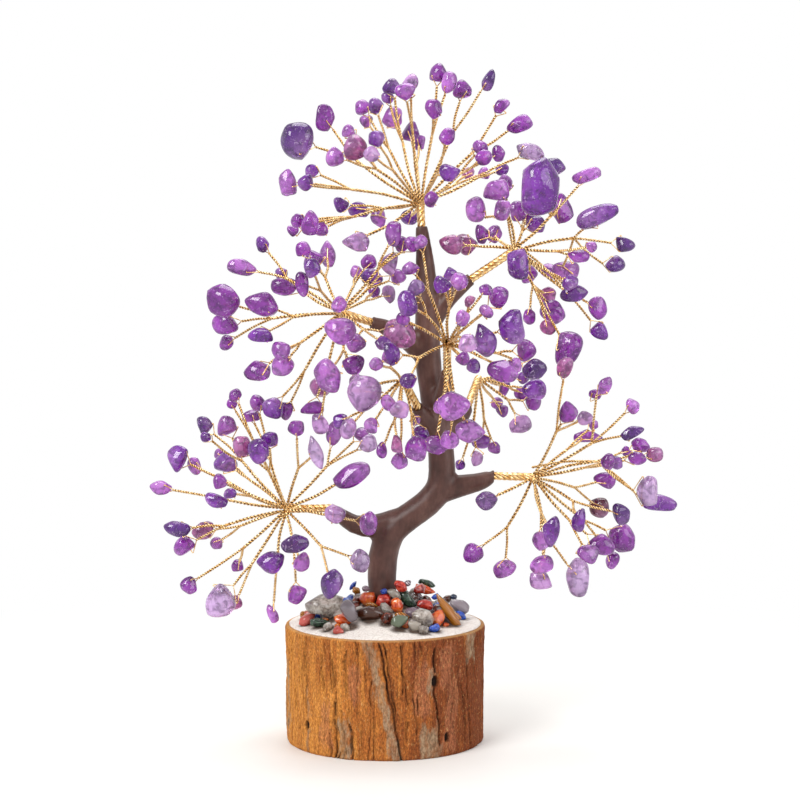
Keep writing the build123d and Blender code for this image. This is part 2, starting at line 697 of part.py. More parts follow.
def trunk_line():
    """The trunk's middle line as points for its core."""
    points = [Vector(TRUNK_ROWS[i][0], 0, TRUNK_ROWS[i][1]) for i in CORE_ROWS]
    points[0] = points[0] + Vector(0, 0, CORE_END_GAP)
    return FilletPolyline(*points, radius=CORE_BEND_R)


def trunk_core(diameter):
    """The bundle of wire inside the trunk."""
    path = trunk_line()
    section = Plane(origin=path @ 0, z_dir=path % 0) * Circle(diameter / 2)
    return sweep(section, path=path).solids()[0]


def trunk_skin():
    """The brown moulded trunk with its stubs, hollow round the core, with a socket per rope."""
    rows = [(x, 0, z, d) for x, z, d in TRUNK_ROWS]
    up = np.array((0, 0, 1.0))
    crown_rope = unit(np.subtract(CROWN.hub, CROWN.tip))
    body = loft(tube_sections(eased(rows), up, crown_rope), ruled=True)
    for spray in SPRAYS:
        rope_dir = unit(np.subtract(spray.hub, spray.tip))
        if spray.stub:
            stub_rows = list(spray.stub) + [(*spray.tip, STUB_TIP_D)]
            body = body + loft(tube_sections(eased(stub_rows), None, rope_dir), ruled=True)
        tip = np.array(spray.tip, dtype=float)
        socket = rod(tip - rope_dir * SOCKET_DEPTH, tip + rope_dir, ROPE_D + 2 * SOCKET_GAP)
        body = body - socket
    return (body - trunk_core(CORE_D + 2 * FIT_GAP)).solids()[0]


def trunk_hole_d():
    """The width of the hole that the trunk's foot stands in."""
    return max(d for _, _, d in TRUNK_ROWS[:3]) + 2 * FIT_GAP


def trunk_hole(height):
    """The round hole for the trunk's foot, up to a height."""
    low = (TRUNK_FOOT_X, 0, TRUNK_FOOT_Z)
    return rod(low, (TRUNK_FOOT_X, 0, height), trunk_hole_d())


def log_core():
    """The wood of the log, with the hole for the trunk's foot."""
    inner = LOG_FOOT_D / 2 - BARK_T - FIT_GAP
    return Solid.make_cylinder(inner, LOG_H) - trunk_hole(LOG_H)


def bark_sleeve():
    """The bark round the log, cracked lengthwise."""
    bark = Solid.make_cone(LOG_FOOT_D / 2, LOG_TOP_D / 2, LOG_H)
    bark = bark - Solid.make_cylinder(LOG_FOOT_D / 2 - BARK_T, LOG_H)
    for degrees, width, low, high in BARK_CRACKS:
        crack = Box(width, 2 * BARK_CRACK_DEPTH, high - low)
        out = Location((0, -LOG_FOOT_D / 2, (low + high) / 2))
        bark = bark - Rot(0, 0, degrees) * out * crack
    return bark


def bed_height(radius):
    """Height of the white bed at a distance from the middle."""
    rows = sorted(BED_PROFILE)
    return LOG_H + float(np.interp(radius, [r for r, _ in rows], [h for _, h in rows]))


def plaster_bed():
    """The white bed poured round the trunk's foot."""
    points = [(0, LOG_H), (BED_R, LOG_H)]
    points += [(r, LOG_H + h) for r, h in BED_PROFILE]
    outline = Plane.XZ * make_face(Polyline(*points, close=True))
    bed = revolve(outline, Axis.Z)
    return (bed - trunk_hole(LOG_H + BED_R)).solids()[0]


class Heap:
    """The stones that lie on the bed already, as balls that the next one comes to rest on."""

    def __init__(self):
        self.points = np.empty((0, 3))
        self.radii = np.empty(0)

    def add(self, points, radius):
        """Put one stone's balls down."""
        self.points = np.vstack((self.points, points))
        self.radii = np.append(self.radii, np.full(len(points), radius))

    def rest_height(self, balls, radius):
        """How far a stone's balls have to be lifted to lie on the bed and on the other stones."""
        lifts = [bed_height(math.hypot(x, y)) + radius - STONE_PRESS - z for x, y, z in balls]
        apart = np.linalg.norm(balls[:, None, :2] - self.points[None, :, :2], axis=2)
        touch = self.radii[None] + radius - STONE_NEST
        over = self.points[None, :, 2] + np.sqrt(np.maximum(touch**2 - apart**2, 0)) - balls[:, None, 2]
        return max(*lifts, np.where(apart < touch, over, -np.inf).max(initial=-np.inf))


def is_free(balls, radius):
    """Whether a stone's balls lie on the bed, clear of the trunk and of the bare strips."""
    foot = trunk_hole_d() / 2
    for x, y, _ in balls:
        out = math.hypot(x, y)
        turn = math.degrees(math.atan2(x, -y))
        bare = any(low < turn < high and out > least for low, high, least in BARE_STRIPS)
        in_trunk = math.hypot(x - TRUNK_FOOT_X, y) < foot + radius
        if bare or in_trunk or out > BED_R - STONE_EDGE - radius:
            return False
    return True


def stone_axes(turn, steep):
    """The long, wide and deep directions of a stone that lies at two angles."""
    along = np.array((math.cos(turn) * math.cos(steep), math.sin(turn) * math.cos(steep), math.sin(steep)))
    across = np.array((-math.sin(turn), math.cos(turn), 0))
    return np.column_stack((along, across, np.cross(along, across)))


def stone_row(half_long, radius, axes):
    """A stone's balls round its own middle, in a row."""
    return np.outer(np.linspace(radius - half_long, half_long - radius, STONE_BALLS), axes[:, 0])


def low_place(heap, row, radius, rng):
    """The lowest of some places on the heap where a small stone comes to rest, or None."""
    best = None
    for _ in range(STONE_TRIES):
        out = BED_R * math.sqrt(rng.random())
        way = rng.uniform(0, 2 * math.pi)
        centre = np.array((out * math.sin(way), -out * math.cos(way), 0))
        if not is_free(row + centre, radius):
            continue
        centre[2] = heap.rest_height(row + centre, radius)
        top = centre[2] + abs(row[0][2]) + radius
        height = centre[2] - bed_height(out) + HEAP_DRAW * out
        if top < PILE_TOP - PILE_SLOPE * out - HEAP_ROOM and (best is None or height < best[0]):
            best = (height, centre)
    return None if best is None else best[1]


def bed_stones():
    """The mixed stones of the bed, sorted by kind."""
    rng = random.Random(STONE_SEED)
    stones = {name: [] for name in STONE_NAMES}
    heap = Heap()
    for x, y, turn, steep, length, width, name in LAID_STONES:
        axes = stone_axes(math.radians(turn), math.radians(steep))
        half = np.array((length, width, width)) / 2
        row = stone_row(half[0], half[1], axes)
        centre = np.array((x, y, 0.0))
        centre[2] = heap.rest_height(row + centre, half[1])
        heap.add(row + centre, half[1])
        stones[name].append(tumbled(centre, half, axes, rng))
    for number in range(STONE_COUNT):
        half_long = rng.uniform(*STONE_HALF_LONG)
        radius = rng.uniform(*STONE_HALF_WIDE)
        steep = math.radians(rng.uniform(-STONE_STEEP_DEG, STONE_STEEP_DEG))
        axes = stone_axes(rng.uniform(0, 2 * math.pi), steep)
        row = stone_row(half_long, radius, axes)
        centre = low_place(heap, row, radius, rng)
        if centre is None:
            continue
        heap.add(row + centre, radius)
        kind = STONE_NAMES[number % len(STONE_NAMES)]
        stones[kind].append(tumbled(centre, np.array((half_long, radius, radius)), axes, rng))
    return stones


def spray_nodes(spray, stems):
    """The rope, twigs, eyes and chips of one spray."""
    rng = random.Random(spray.name)
    hub = np.array(spray.hub, dtype=float)
    twigs = []
    eyes = []
    chips = []
    for stem in stems:
        start = hub + unit(stem.fork - hub) * STEM_START
        twigs.append(rod(start, stem.fork, STEM_D if len(stem.chips) > 1 else TWIG_D))
        for chip in stem.chips:
            end = twig_end(chip, stem.fork)
            twigs.append(rod(stem.fork, end, TWIG_D))
            eyes.append(eye(chip, stem.fork))
            chips.append(drilled_chip(chip, stem.fork, rng))
    return {
        f"{spray.name}_rope": rope(spray),
        f"{spray.name}_twigs": group(twigs),
        f"{spray.name}_eyes": group(eyes),
        f"{spray.name}_chips": group(chips),
    }


def main():
    """Build every piece and write it."""
    nodes = {
        "log_core": log_core(),
        "bark_sleeve": bark_sleeve(),
        "plaster_bed": plaster_bed(),
        "trunk_core_wire": trunk_core(CORE_D),
        "trunk_skin": trunk_skin(),
    }
    for name, solids in bed_stones().items():
        nodes[f"bed_{name}"] = group(solids)
    placed = place_sprays()
    for spray in SPRAYS:
        nodes.update(spray_nodes(spray, placed[spray.name]))
    os.makedirs("parts", exist_ok=True)
    for name, shape in nodes.items():
        export_step(shape, f"parts/{name}.step")
        print(name, len(shape.solids()), round(sum(s.volume for s in shape.solids()), 1))


if __name__ == "__main__":
    main()
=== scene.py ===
"""Amethyst chip tree on a slice of log: the dressed model and a plain studio."""

import json
import logging
import math
import random
from dataclasses import dataclass, field
from enum import Enum

import bmesh
import bpy
import numpy as np
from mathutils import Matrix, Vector, noise


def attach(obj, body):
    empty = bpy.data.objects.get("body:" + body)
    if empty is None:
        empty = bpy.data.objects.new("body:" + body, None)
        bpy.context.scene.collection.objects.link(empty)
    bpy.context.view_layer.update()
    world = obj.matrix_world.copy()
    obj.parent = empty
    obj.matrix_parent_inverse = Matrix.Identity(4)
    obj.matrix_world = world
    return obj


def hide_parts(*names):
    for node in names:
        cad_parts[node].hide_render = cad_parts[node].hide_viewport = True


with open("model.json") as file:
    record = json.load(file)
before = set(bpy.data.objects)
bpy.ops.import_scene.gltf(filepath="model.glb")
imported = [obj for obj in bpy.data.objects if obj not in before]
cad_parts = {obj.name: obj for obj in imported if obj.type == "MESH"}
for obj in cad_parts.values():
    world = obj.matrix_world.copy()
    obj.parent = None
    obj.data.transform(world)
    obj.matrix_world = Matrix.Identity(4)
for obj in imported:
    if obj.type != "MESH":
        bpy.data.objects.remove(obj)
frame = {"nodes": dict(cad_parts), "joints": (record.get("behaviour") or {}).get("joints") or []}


MM = 0.001
# A wave texture of scale one repeats after this length
WAVE_RUN = 0.31
# Vertices of a CAD mesh nearer than this are one corner
WELD = 0.002 * MM
LOG = logging.getLogger("chip_tree")
SPRAY_NAMES = (
    "crown", "upper_right", "upper_left", "front", "front_left", "rear_right", "lower_right", "lower_left",
)

Tree = bpy.types.NodeTree
Socket = bpy.types.NodeSocket
Piece = bpy.types.Object
Material = bpy.types.Material


def linear(hex_colour: str) -> tuple[float, float, float, float]:
    """Turn an sRGB hex colour into linear RGBA.

    Args:
        hex_colour: a colour such as "#7A3FB0".

    Returns:
        The linear red, green, blue and an alpha of one.
    """
    values = [int(hex_colour[i:i + 2], 16) / 255 for i in (1, 3, 5)]
    values = [v / 12.92 if v <= 0.04045 else ((v + 0.055) / 1.055) ** 2.4 for v in values]
    return (*values, 1.0)


def add_node(
    tree: Tree,
    kind: str,
    inputs: dict | None = None,
    stops: list[tuple[float, tuple]] | None = None,
    **settings: object,
) -> bpy.types.Node:
    """Add a node, set it up and link it.

    Args:
        tree: the tree that gets the node.
        kind: the node's type name.
        inputs: socket name or index to a value, or to the output socket that feeds it.
        stops: positions and colours for a node that has a colour ramp.
        **settings: the node's own properties.

    Returns:
        The new node.
    """
    node = tree.nodes.new(kind)
    for name, value in settings.items():
        setattr(node, name, value)
    if stops is not None:
        ramp = node.color_ramp
        while len(ramp.elements) < len(stops):
            ramp.elements.new(1.0)
        for element, (position, colour) in zip(ramp.elements, stops):
            element.position = position
            element.color = colour
    for key, value in (inputs or {}).items():
        if isinstance(value, Socket):
            tree.links.new(value, node.inputs[key])
        else:
            node.inputs[key].default_value = value
    return node


def grey(value: float) -> tuple[float, float, float, float]:
    """A linear grey for ramps that carry a plain number."""
    return (value, value, value, 1.0)

def colour_of(value: Socket | str | float) -> Socket | tuple[float, float, float, float]:
    """A linear colour from a hex colour or a grey value; a socket stays as it is."""
    if isinstance(value, str):
        return linear(value)
    return value if isinstance(value, Socket) else grey(value)


def mix(tree: Tree, share: Socket | float, low: Socket | str, high: Socket | str, blend: str = "MIX") -> Socket:
    """Blend two colours.

    Args:
        tree: the material's node tree.
        share: how much of the second colour is taken.
        low: the first colour.
        high: the second colour.
        blend: the kind of blend.

    Returns:
        The blended colour.
    """
    return add_node(tree, "ShaderNodeMix", {0: share, 6: colour_of(low), 7: colour_of(high)},
                    data_type="RGBA", blend_type=blend).outputs[2]


def ramp(tree: Tree, value: Socket, *stops: tuple[float, str | float]) -> Socket:
    """Run a number through a ramp of places with hex colours or grey values."""
    rows = [(place, colour_of(colour)) for place, colour in stops]
    return add_node(tree, "ShaderNodeValToRGB", {"Fac": value}, rows).outputs["Color"]


def speckle(
    tree: Tree, place: Socket, size_mm: float, rise: float = 1.0,
    detail: float = 2.0, roughness: float = 0.5, distortion: float = 0.0,
) -> Socket:
    """Noise with spots of a real size.

    Args:
        tree: the material's node tree.
        place: object coordinates in metres.
        size_mm: width of the spots.
        rise: how many times taller than wide they are.
        detail: number of finer layers.
        roughness: strength of the finer layers.
        distortion: how far the spots are drawn out of shape.

    Returns:
        Values of nought to one.
    """
    tall = add_node(tree, "ShaderNodeMapping", {"Vector": place, "Scale": (1.0, 1.0, 1 / rise)})
    return add_node(tree, "ShaderNodeTexNoise", {
        "Vector": tall.outputs[0], "Scale": 1 / (size_mm * MM), "Detail": detail, "Roughness": roughness,
        "Distortion": distortion}).outputs["Fac"]


def bands(tree: Tree, place: Socket, width_mm: float, distortion: float, detail: float, finer: float) -> bpy.types.Node:
    """A wave texture whose bands have a real width."""
    return add_node(tree, "ShaderNodeTexWave", {
        "Vector": place, "Scale": WAVE_RUN / (width_mm * MM), "Distortion": distortion, "Detail": detail,
        "Detail Scale": finer})


def bumps(tree: Tree, height: Socket, strength: float, depth_mm: float) -> Socket:
    """The normal of a surface with fine relief."""
    return add_node(tree, "ShaderNodeBump", {
        "Height": height, "Strength": strength, "Distance": depth_mm * MM}).outputs["Normal"]


def span(
    tree: Tree, value: Socket, low: float, high: float, to_low: float = 0.0, to_high: float = 1.0, way: str = "LINEAR"
) -> Socket:
    """Stretch a range of numbers onto another and stop at its ends."""
    return add_node(tree, "ShaderNodeMapRange", {
        "Value": value, "From Min": low, "From Max": high, "To Min": to_low, "To Max": to_high},
        interpolation_type=way).outputs["Result"]


def painted(tree: Tree, name: str, output: str = "Color") -> Socket:
    """What a piece carries at each vertex under a name."""
    return add_node(tree, "ShaderNodeAttribute", attribute_name=name).outputs[output]


def compute(tree: Tree, operation: str, *values: Socket | float) -> Socket:
    """A number worked out from others."""
    return add_node(tree, "ShaderNodeMath", dict(enumerate(values)), operation=operation).outputs[0]


def compute_vector(tree: Tree, operation: str, *values: Socket) -> bpy.types.Node:
    """A node that works on vectors; SCALE takes its number second."""
    places = (0, "Scale") if operation == "SCALE" else (0, 1)
    return add_node(tree, "ShaderNodeVectorMath", dict(zip(places, values)), operation=operation)


def fresh_tree(owner: Material | bpy.types.World) -> Tree:
    """The emptied node tree of a new material or world."""
    owner.use_nodes = True
    owner.node_tree.nodes.clear()
    return owner.node_tree


def unit(vector: np.ndarray) -> np.ndarray:
    """The vector's direction at length one."""
    return np.asarray(vector, float) / np.linalg.norm(vector)


def mesh_piece(
    name: str, points: np.ndarray, faces: list, material: Material | None = None, smooth: bool = True
) -> Piece:
    """Make a mesh object at the origin.

    Args:
        name: the piece's name.
        points: vertex places in metres.
        faces: vertex numbers of each face, or of each edge if they are pairs.
        material: the finish, if it is known already.
        smooth: whether its faces are shaded smooth.

    Returns:
        The linked object.
    """
    mesh = bpy.data.meshes.new(name)
    pairs = [f for f in faces if len(f) == 2]
    polygons = [f for f in faces if len(f) > 2]
    mesh.from_pydata([tuple(p) for p in points], pairs, polygons)
    mesh.update()
    if smooth:
        mesh.polygons.foreach_set("use_smooth", [True] * len(mesh.polygons))
    piece = bpy.data.objects.new(name, mesh)
    bpy.context.scene.collection.objects.link(piece)
    if material is not None:
        mesh.materials.append(material)
    return piece


def bake_modifiers(piece: Piece) -> Piece:
    """Turn a piece with live modifiers into a plain mesh of the same name."""
    evaluated = piece.evaluated_get(bpy.context.evaluated_depsgraph_get())
    mesh = bpy.data.meshes.new_from_object(evaluated)
    piece.modifiers.clear()
    old = piece.data
    piece.data = mesh
    mesh.name = piece.name
    if old.users == 0:
        bpy.data.meshes.remove(old)
    return piece


def vertex_places(mesh: bpy.types.Mesh) -> np.ndarray:
    """All vertex places of a mesh as rows."""
    places = np.zeros(len(mesh.vertices) * 3)
    mesh.vertices.foreach_get("co", places)
    return places.reshape(-1, 3)


def paint(piece: Piece, name: str, colours: np.ndarray) -> None:
    """Store a colour per vertex under a name that a material reads."""
    layer = piece.data.color_attributes.new(name=name, type="FLOAT_COLOR", domain="POINT")
    layer.data.foreach_set("color", np.asarray(colours, np.float32).ravel())


def show(piece: Piece, body: str, nodes: list[str]) -> None:
    """Hand a finished piece to its body, in place of the CAD nodes that it stands for.

    Args:
        piece: the finished piece.
        body: the CAD body that it rides on.
        nodes: the CAD nodes that it replaces.
    """
    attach(piece, body)
    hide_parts(*nodes)
    LOG.info("%s on %s: %d faces", piece.name, body, len(piece.data.polygons))


def solids_of(node: str) -> list[np.ndarray]:
    """The separate solids of a CAD node.

    Args:
        node: the node's name.

    Returns:
        One array of vertex places for each solid.
    """
    work = bmesh.new()
    work.from_mesh(frame["nodes"][node].data)
    bmesh.ops.remove_doubles(work, verts=work.verts, dist=WELD)
    seen: set = set()
    solids = []
    for start in work.verts:
        if start in seen:
            continue
        seen.add(start)
        group = [start]
        for vertex in group:
            for edge in vertex.link_edges:
                other = edge.other_vert(vertex)
                if other not in seen:
                    seen.add(other)
                    group.append(other)
        solids.append(np.array([v.co for v in group]))
    work.free()
    return solids


def dress(piece: Piece, material: Material) -> None:
    """Give a piece one material in place of any it has."""
    piece.data.materials.clear()
    piece.data.materials.append(material)


def ring_faces(rings: int, around: int) -> list[tuple[int, int, int, int]]:
    """Faces between rings of points, the last ring joined to the first.

    Args:
        rings: how many rings there are.
        around: points in each ring.

    Returns:
        Vertex numbers of each face.
    """
    faces = []
    for low in range(rings):
        high = (low + 1) % rings
        for step in range(around):
            after = (step + 1) % around
            faces.append((low * around + step, low * around + after, high * around + after, high * around + step))
    return faces


def smooth_line(corners: list[np.ndarray], steps: int = 7) -> np.ndarray:
    """A smooth line through a few points.

    Args:
        corners: the points in order.
        steps: samples between two points.

    Returns:
        The sampled points.
    """
    ends = [2 * corners[0] - corners[1], *corners, 2 * corners[-1] - corners[-2]]
    line = []
    for a, b, c, d in zip(ends, ends[1:], ends[2:], ends[3:]):
        for t in np.arange(steps) / steps:
            line.append(0.5 * (2 * b + (c - a) * t + (2 * a - 5 * b + 4 * c - d) * t**2
                               + (3 * b - a - 3 * c + d) * t**3))
    line.append(corners[-1])
    return np.array(line)


class Tone(Enum):
    """Body colours seen among the amethyst chips."""

    MID = "#A03CB6"
    VIVID = "#842EAE"
    LIGHT = "#C874DA"
    PALE = "#DBA6E6"
    DARK = "#602488"
    PINK = "#C266A8"
    CLEAR = "#D9B6E6"
    RED = "#8A4048"


class StoneKind(Enum):
    """The stones of the bed, by node name."""

    QUARTZ = "quartz"
    JASPER = "jasper"
    CARNELIAN = "carnelian"
    AVENTURINE = "aventurine"
    TIGER_EYE = "tiger_eye"
    LAPIS = "lapis"
    GARNET = "garnet"
    AGATE = "agate"


@dataclass(frozen=True)
class Finish:
    """A surface finish that can make its material."""

    name: str

    def shade(self, tree: Tree, place: Socket) -> dict[str, object]:
        """Work out the inputs of the finish's shader; each finish has its own.

        Args:
            tree: the material's node tree.
            place: object coordinates in metres.

        Returns:
            Inputs of a Principled shader by name.
        """
        raise NotImplementedError

    def material(self) -> Material:
        """Make the material of this finish."""
        made = bpy.data.materials.new(self.name)
        tree = fresh_tree(made)
        place = add_node(tree, "ShaderNodeTexCoord").outputs["Object"]
        shader = add_node(tree, "ShaderNodeBsdfPrincipled", self.shade(tree, place))
        add_node(tree, "ShaderNodeOutputMaterial", {"Surface": shader.outputs[0]})
        return made


@dataclass(frozen=True)
class TumbledAmethyst(Finish):
    """Amethyst quartz, drum-tumbled to a wet-looking polish.

    Purple in clouds and paler zones, glossy like glass, light passing through the thin edges.
    """

    name: str = "tumbled_amethyst"
    cloud_mm: float = 2.8
    veil_mm: float = 1.5
    dent_mm: float = 0.3
    veil: str = "#E9CFF2"
    deep: str = "#2C0F42"

    def shade(self, tree: Tree, place: Socket) -> dict[str, object]:
        """Chip tone, darker clouds, pale veils, glassy gloss."""
        cloud = speckle(tree, place, self.cloud_mm, detail=1.5, distortion=0.8)
        body = mix(tree, ramp(tree, cloud, (0.44, 0.0), (0.66, 0.6)), painted(tree, "tone"), self.deep)
        veil = speckle(tree, place, self.veil_mm, distortion=1.8)
        return {
            "Base Color": mix(tree, ramp(tree, veil, (0.60, 0.0), (0.74, 0.6)), body, self.veil),
            "Normal": bumps(tree, cloud, 0.15, self.dent_mm), "Roughness": 0.03, "IOR": 1.544,
            "Transmission Weight": 0.45,
        }


@dataclass(frozen=True)
class GoldWire(Finish):
    """Gold-coloured soft craft wire, drawn bright: warm metal with soft patches of painted highlight, and painted shade
    in the grooves of a twist.
    """

    name: str = "gold_coloured_wire"
    # the paler gold is a painted highlight, laid in soft patches over the duller gold
    painted_highlight_gold: str = "#F7D9A4"
    dull: str = "#CB9852"
    # the darkest gold is painted shade between the strands of a twist
    groove: str = "#5C370F"
    highlight_patch_mm: float = 1.6
    twisted: bool = True

    def shade(self, tree: Tree, place: Socket) -> dict[str, object]:
        """A duller gold with soft patches of a paler painted highlight gold, and painted shade between the strands of
        twisted wire.
        """
        colour = ramp(tree, speckle(tree, place, self.highlight_patch_mm), (0.36, self.dull), (0.62, self.painted_highlight_gold))
        if self.twisted:
            # painted shade darkens the grooves between the strands
            colour = mix(tree, span(tree, painted(tree, "groove", "Fac"), 0.5, 0.92), self.groove, colour)
        return {"Base Color": colour, "Roughness": 0.26, "Metallic": 1.0}


@dataclass(frozen=True)
class MouldedTrunk(Finish):
    """Brown polymer clay, hand-smoothed: satin taupe with fine strokes along the stem."""

    name: str = "brown_polymer_clay"
    base: str = "#52352E"
    dark: str = "#3E2620"
    light: str = "#6B4C43"
    stroke_mm: float = 1.2
    stroke_rise: float = 10 / 3
    blotch_mm: float = 9.0
    stroke_depth_mm: float = 0.25

    def shade(self, tree: Tree, place: Socket) -> dict[str, object]:
        """Soft blotches and faint strokes, a satin gloss."""
        stroke = speckle(tree, place, self.stroke_mm, self.stroke_rise, detail=4.0)
        blotch = speckle(tree, place, self.blotch_mm, detail=4.0)
        both = add_node(tree, "ShaderNodeMix", {0: 0.3, 2: blotch, 3: stroke}, data_type="FLOAT").outputs[0]
        return {
            "Base Color": ramp(tree, both, (0.3, self.dark), (0.5, self.base), (0.72, self.light)),
            "Normal": bumps(tree, both, 0.3, self.stroke_depth_mm), "Roughness": 0.4, "Specular IOR Level": 0.32,
        }


@dataclass(frozen=True)
class FibrousBark(Finish):
    """Cedar-like bark: stringy ochre fibre, weathered grey outer flakes, cracks darkened as painted shade, lighter on
    the left as painted light and darker on the right as painted shade.

    Each streak size is a width in mm and how many times taller than wide the streaks are.
    """

    name: str = "fibrous_bark"
    # left to right: a painted lit yellow, a middle brown and a painted shaded red
    left: str = "#C9853C"
    middle: str = "#A15D28"
    right: str = "#793D1D"
    flake: str = "#A98F72"
    flake_dark: str = "#64503D"
    pink: str = "#A96B4C"
    fleck: str = "#DDAE70"
    line: str = "#54300F"
    rim: str = "#CFA26A"
    # near-black painted shade inside the cracks and knot holes
    crack_and_shade: str = "#20120B"
    band_size: tuple[float, float] = (3.2, 9.0)
    fibre_size: tuple[float, float] = (0.5, 2.3)
    line_size: tuple[float, float] = (0.9, 22.0)
    fleck_size: tuple[float, float] = (0.7, 2.0)
    flake_size: tuple[float, float] = (0.8, 2.2)
    wear_size: tuple[float, float] = (2.4, 2.6)
    fibre_depth_mm: float = 0.5
    half_width: float = 40 * MM
    rim_start: float = 46.3 * MM
    rim_end: float = 46.9 * MM

    def streaks(self, tree: Tree, place: Socket, size: tuple[float, float]) -> Socket:
        """Noise drawn out along the log."""
        return speckle(tree, place, *size, detail=5.0, roughness=0.68)

    def shade(self, tree: Tree, place: Socket) -> dict[str, object]:
        """Lighter yellow on the left as painted light and darker red on the right as painted shade, fibres, flecks and
        dark lines over it, then the painted masks.
        """
        masks = add_node(tree, "ShaderNodeSeparateColor", {"Color": painted(tree, "bark")}).outputs
        ways = add_node(tree, "ShaderNodeSeparateXYZ", {"Vector": place}).outputs
        # across the log from the lit left to the shaded right, as painted light and shade
        side = span(tree, ways["X"], -self.half_width, self.half_width, -0.65, 0.35)
        turn = compute(tree, "MULTIPLY_ADD", self.streaks(tree, place, self.band_size), 1.7, side)
        colour = ramp(tree, turn, (0.2, self.left), (0.62, self.middle), (1.0, self.right))
        colour = mix(tree, masks["Blue"], colour, self.pink)
        fibre = self.streaks(tree, place, self.fibre_size)
        grain = ramp(tree, fibre, (0.34, 0.04), (0.5, 0.42), (0.66, 0.92))
        colour = mix(tree, 0.62, colour, grain, "OVERLAY")
        lines = ramp(tree, self.streaks(tree, place, self.line_size), (0.56, 0.0), (0.68, 0.7))
        colour = mix(tree, lines, colour, self.line)
        spots = ramp(tree, self.streaks(tree, place, self.fleck_size), (0.57, 0.0), (0.7, 0.5))
        colour = mix(tree, spots, colour, self.fleck)
        flake = ramp(tree, self.streaks(tree, place, self.flake_size), (0.36, self.flake_dark), (0.6, self.flake))
        worn = span(tree, self.streaks(tree, place, self.wear_size), 0.42, 0.56, 0.45)
        colour = mix(tree, compute(tree, "MULTIPLY", masks["Green"], worn), colour, flake)
        # cracks and knot holes get their painted shade
        colour = mix(tree, masks["Red"], colour, self.crack_and_shade)
        top = span(tree, ways["Z"], self.rim_start, self.rim_end, 0.0, 0.5)
        return {
            "Base Color": mix(tree, top, colour, self.rim), "Normal": bumps(tree, fibre, 0.8, self.fibre_depth_mm),
            "Roughness": 0.85, "Specular IOR Level": 0.2,
        }


@dataclass(frozen=True)
class SawnWood(Finish):
    """Softwood sawn across the grain: growth rings and saw marks, dry and matt."""

    name: str = "sawn_softwood"
    pale: str = "#C79A63"
    ring: str = "#9A6636"
    ring_mm: float = 2.4
    saw_mm: float = 0.8
    saw_depth_mm: float = 0.2

    def shade(self, tree: Tree, place: Socket) -> dict[str, object]:
        """Rings about the log's own axis, a little out of round."""
        flat = add_node(tree, "ShaderNodeMapping", {"Vector": place, "Scale": (1.0, 1.0, 0.0)})
        rings = bands(tree, flat.outputs[0], self.ring_mm, 2.5, 3.0, 0.6)
        rings.wave_type, rings.rings_direction = "RINGS", "Z"
        saw = speckle(tree, place, self.saw_mm, detail=4.0)
        return {
            "Base Color": ramp(tree, rings.outputs["Fac"], (0.2, self.pale), (0.9, self.ring)),
            "Normal": bumps(tree, saw, 0.4, self.saw_depth_mm), "Roughness": 0.75,
        }


@dataclass(frozen=True)
class WhiteBed(Finish):
    """White plaster filler, poured and left rough: chalky where bare, darkened as painted shade under and between the
    stones.
    """

    name: str = "white_plaster"
    white: str = "#ECE6DF"
    dim: str = "#C4B7AC"
    # dark colours of the painted shade under and between the stones
    under_stone_shade: str = "#2E221C"
    under_stone_shade_light: str = "#7A6557"
    grain_mm: float = 0.7
    grain_depth_mm: float = 0.35

    def shade(self, tree: Tree, place: Socket) -> dict[str, object]:
        """Grains in colour and bump, painted shade where the bed is covered."""
        grain = speckle(tree, place, self.grain_mm, detail=5.0, roughness=0.7)
        plaster = ramp(tree, grain, (0.32, self.dim), (0.55, self.white))
        # the covered bed gets a dark painted shade between the stones
        under_stone_shade = ramp(tree, grain, (0.4, self.under_stone_shade), (0.66, self.under_stone_shade_light))
        return {
            "Base Color": mix(tree, painted(tree, "covered", "Fac"), plaster, under_stone_shade),
            "Normal": bumps(tree, grain, 0.6, self.grain_depth_mm), "Roughness": 0.7,
        }


@dataclass(frozen=True)
class TumbledStone(Finish):
    """A tumbled stone of the bed: three colours in spots, clouds or bands under a wet polish.

    Some stones of a kind lean to its other colour, and each is a little darker or lighter.
    """

    name: str = "tumbled_stone"
    colours: tuple[str, str, str] = ("#888888", "#999999", "#AAAAAA")
    other: str = "#999999"
    grain_mm: float = 1.6
    banded: bool = False
    clear: float = 0.0
    pit_mm: float = 0.3
    band_turn: tuple[float, float, float] = (0.5, 0.8, 0.3)
    band_stops: tuple[float, float, float] = (0.15, 0.5, 0.85)
    spot_stops: tuple[float, float, float] = (0.36, 0.5, 0.64)

    def shade(self, tree: Tree, place: Socket) -> dict[str, object]:
        """Spots or bands through three colours, glossy."""
        spots = speckle(tree, place, self.grain_mm, detail=5.0, roughness=0.6, distortion=0.8)
        own = spots
        if self.banded:
            turned = add_node(tree, "ShaderNodeMapping", {"Vector": place, "Rotation": self.band_turn})
            own = bands(tree, turned.outputs[0], self.grain_mm, 3.0, 2.0, 0.7).outputs["Fac"]
        colour = ramp(tree, own, *zip(self.band_stops if self.banded else self.spot_stops, self.colours))
        leans = add_node(tree, "ShaderNodeSeparateColor", {"Color": painted(tree, "lean")}).outputs
        colour = mix(tree, leans["Red"], colour, self.other)
        return {
            "Base Color": mix(tree, leans["Green"], colour, "#000000"),
            "Normal": bumps(tree, spots, 0.25, self.pit_mm), "Roughness": 0.1, "IOR": 1.54,
            "Transmission Weight": self.clear, "Coat Weight": 0.15, "Coat Roughness": 0.04,
        }


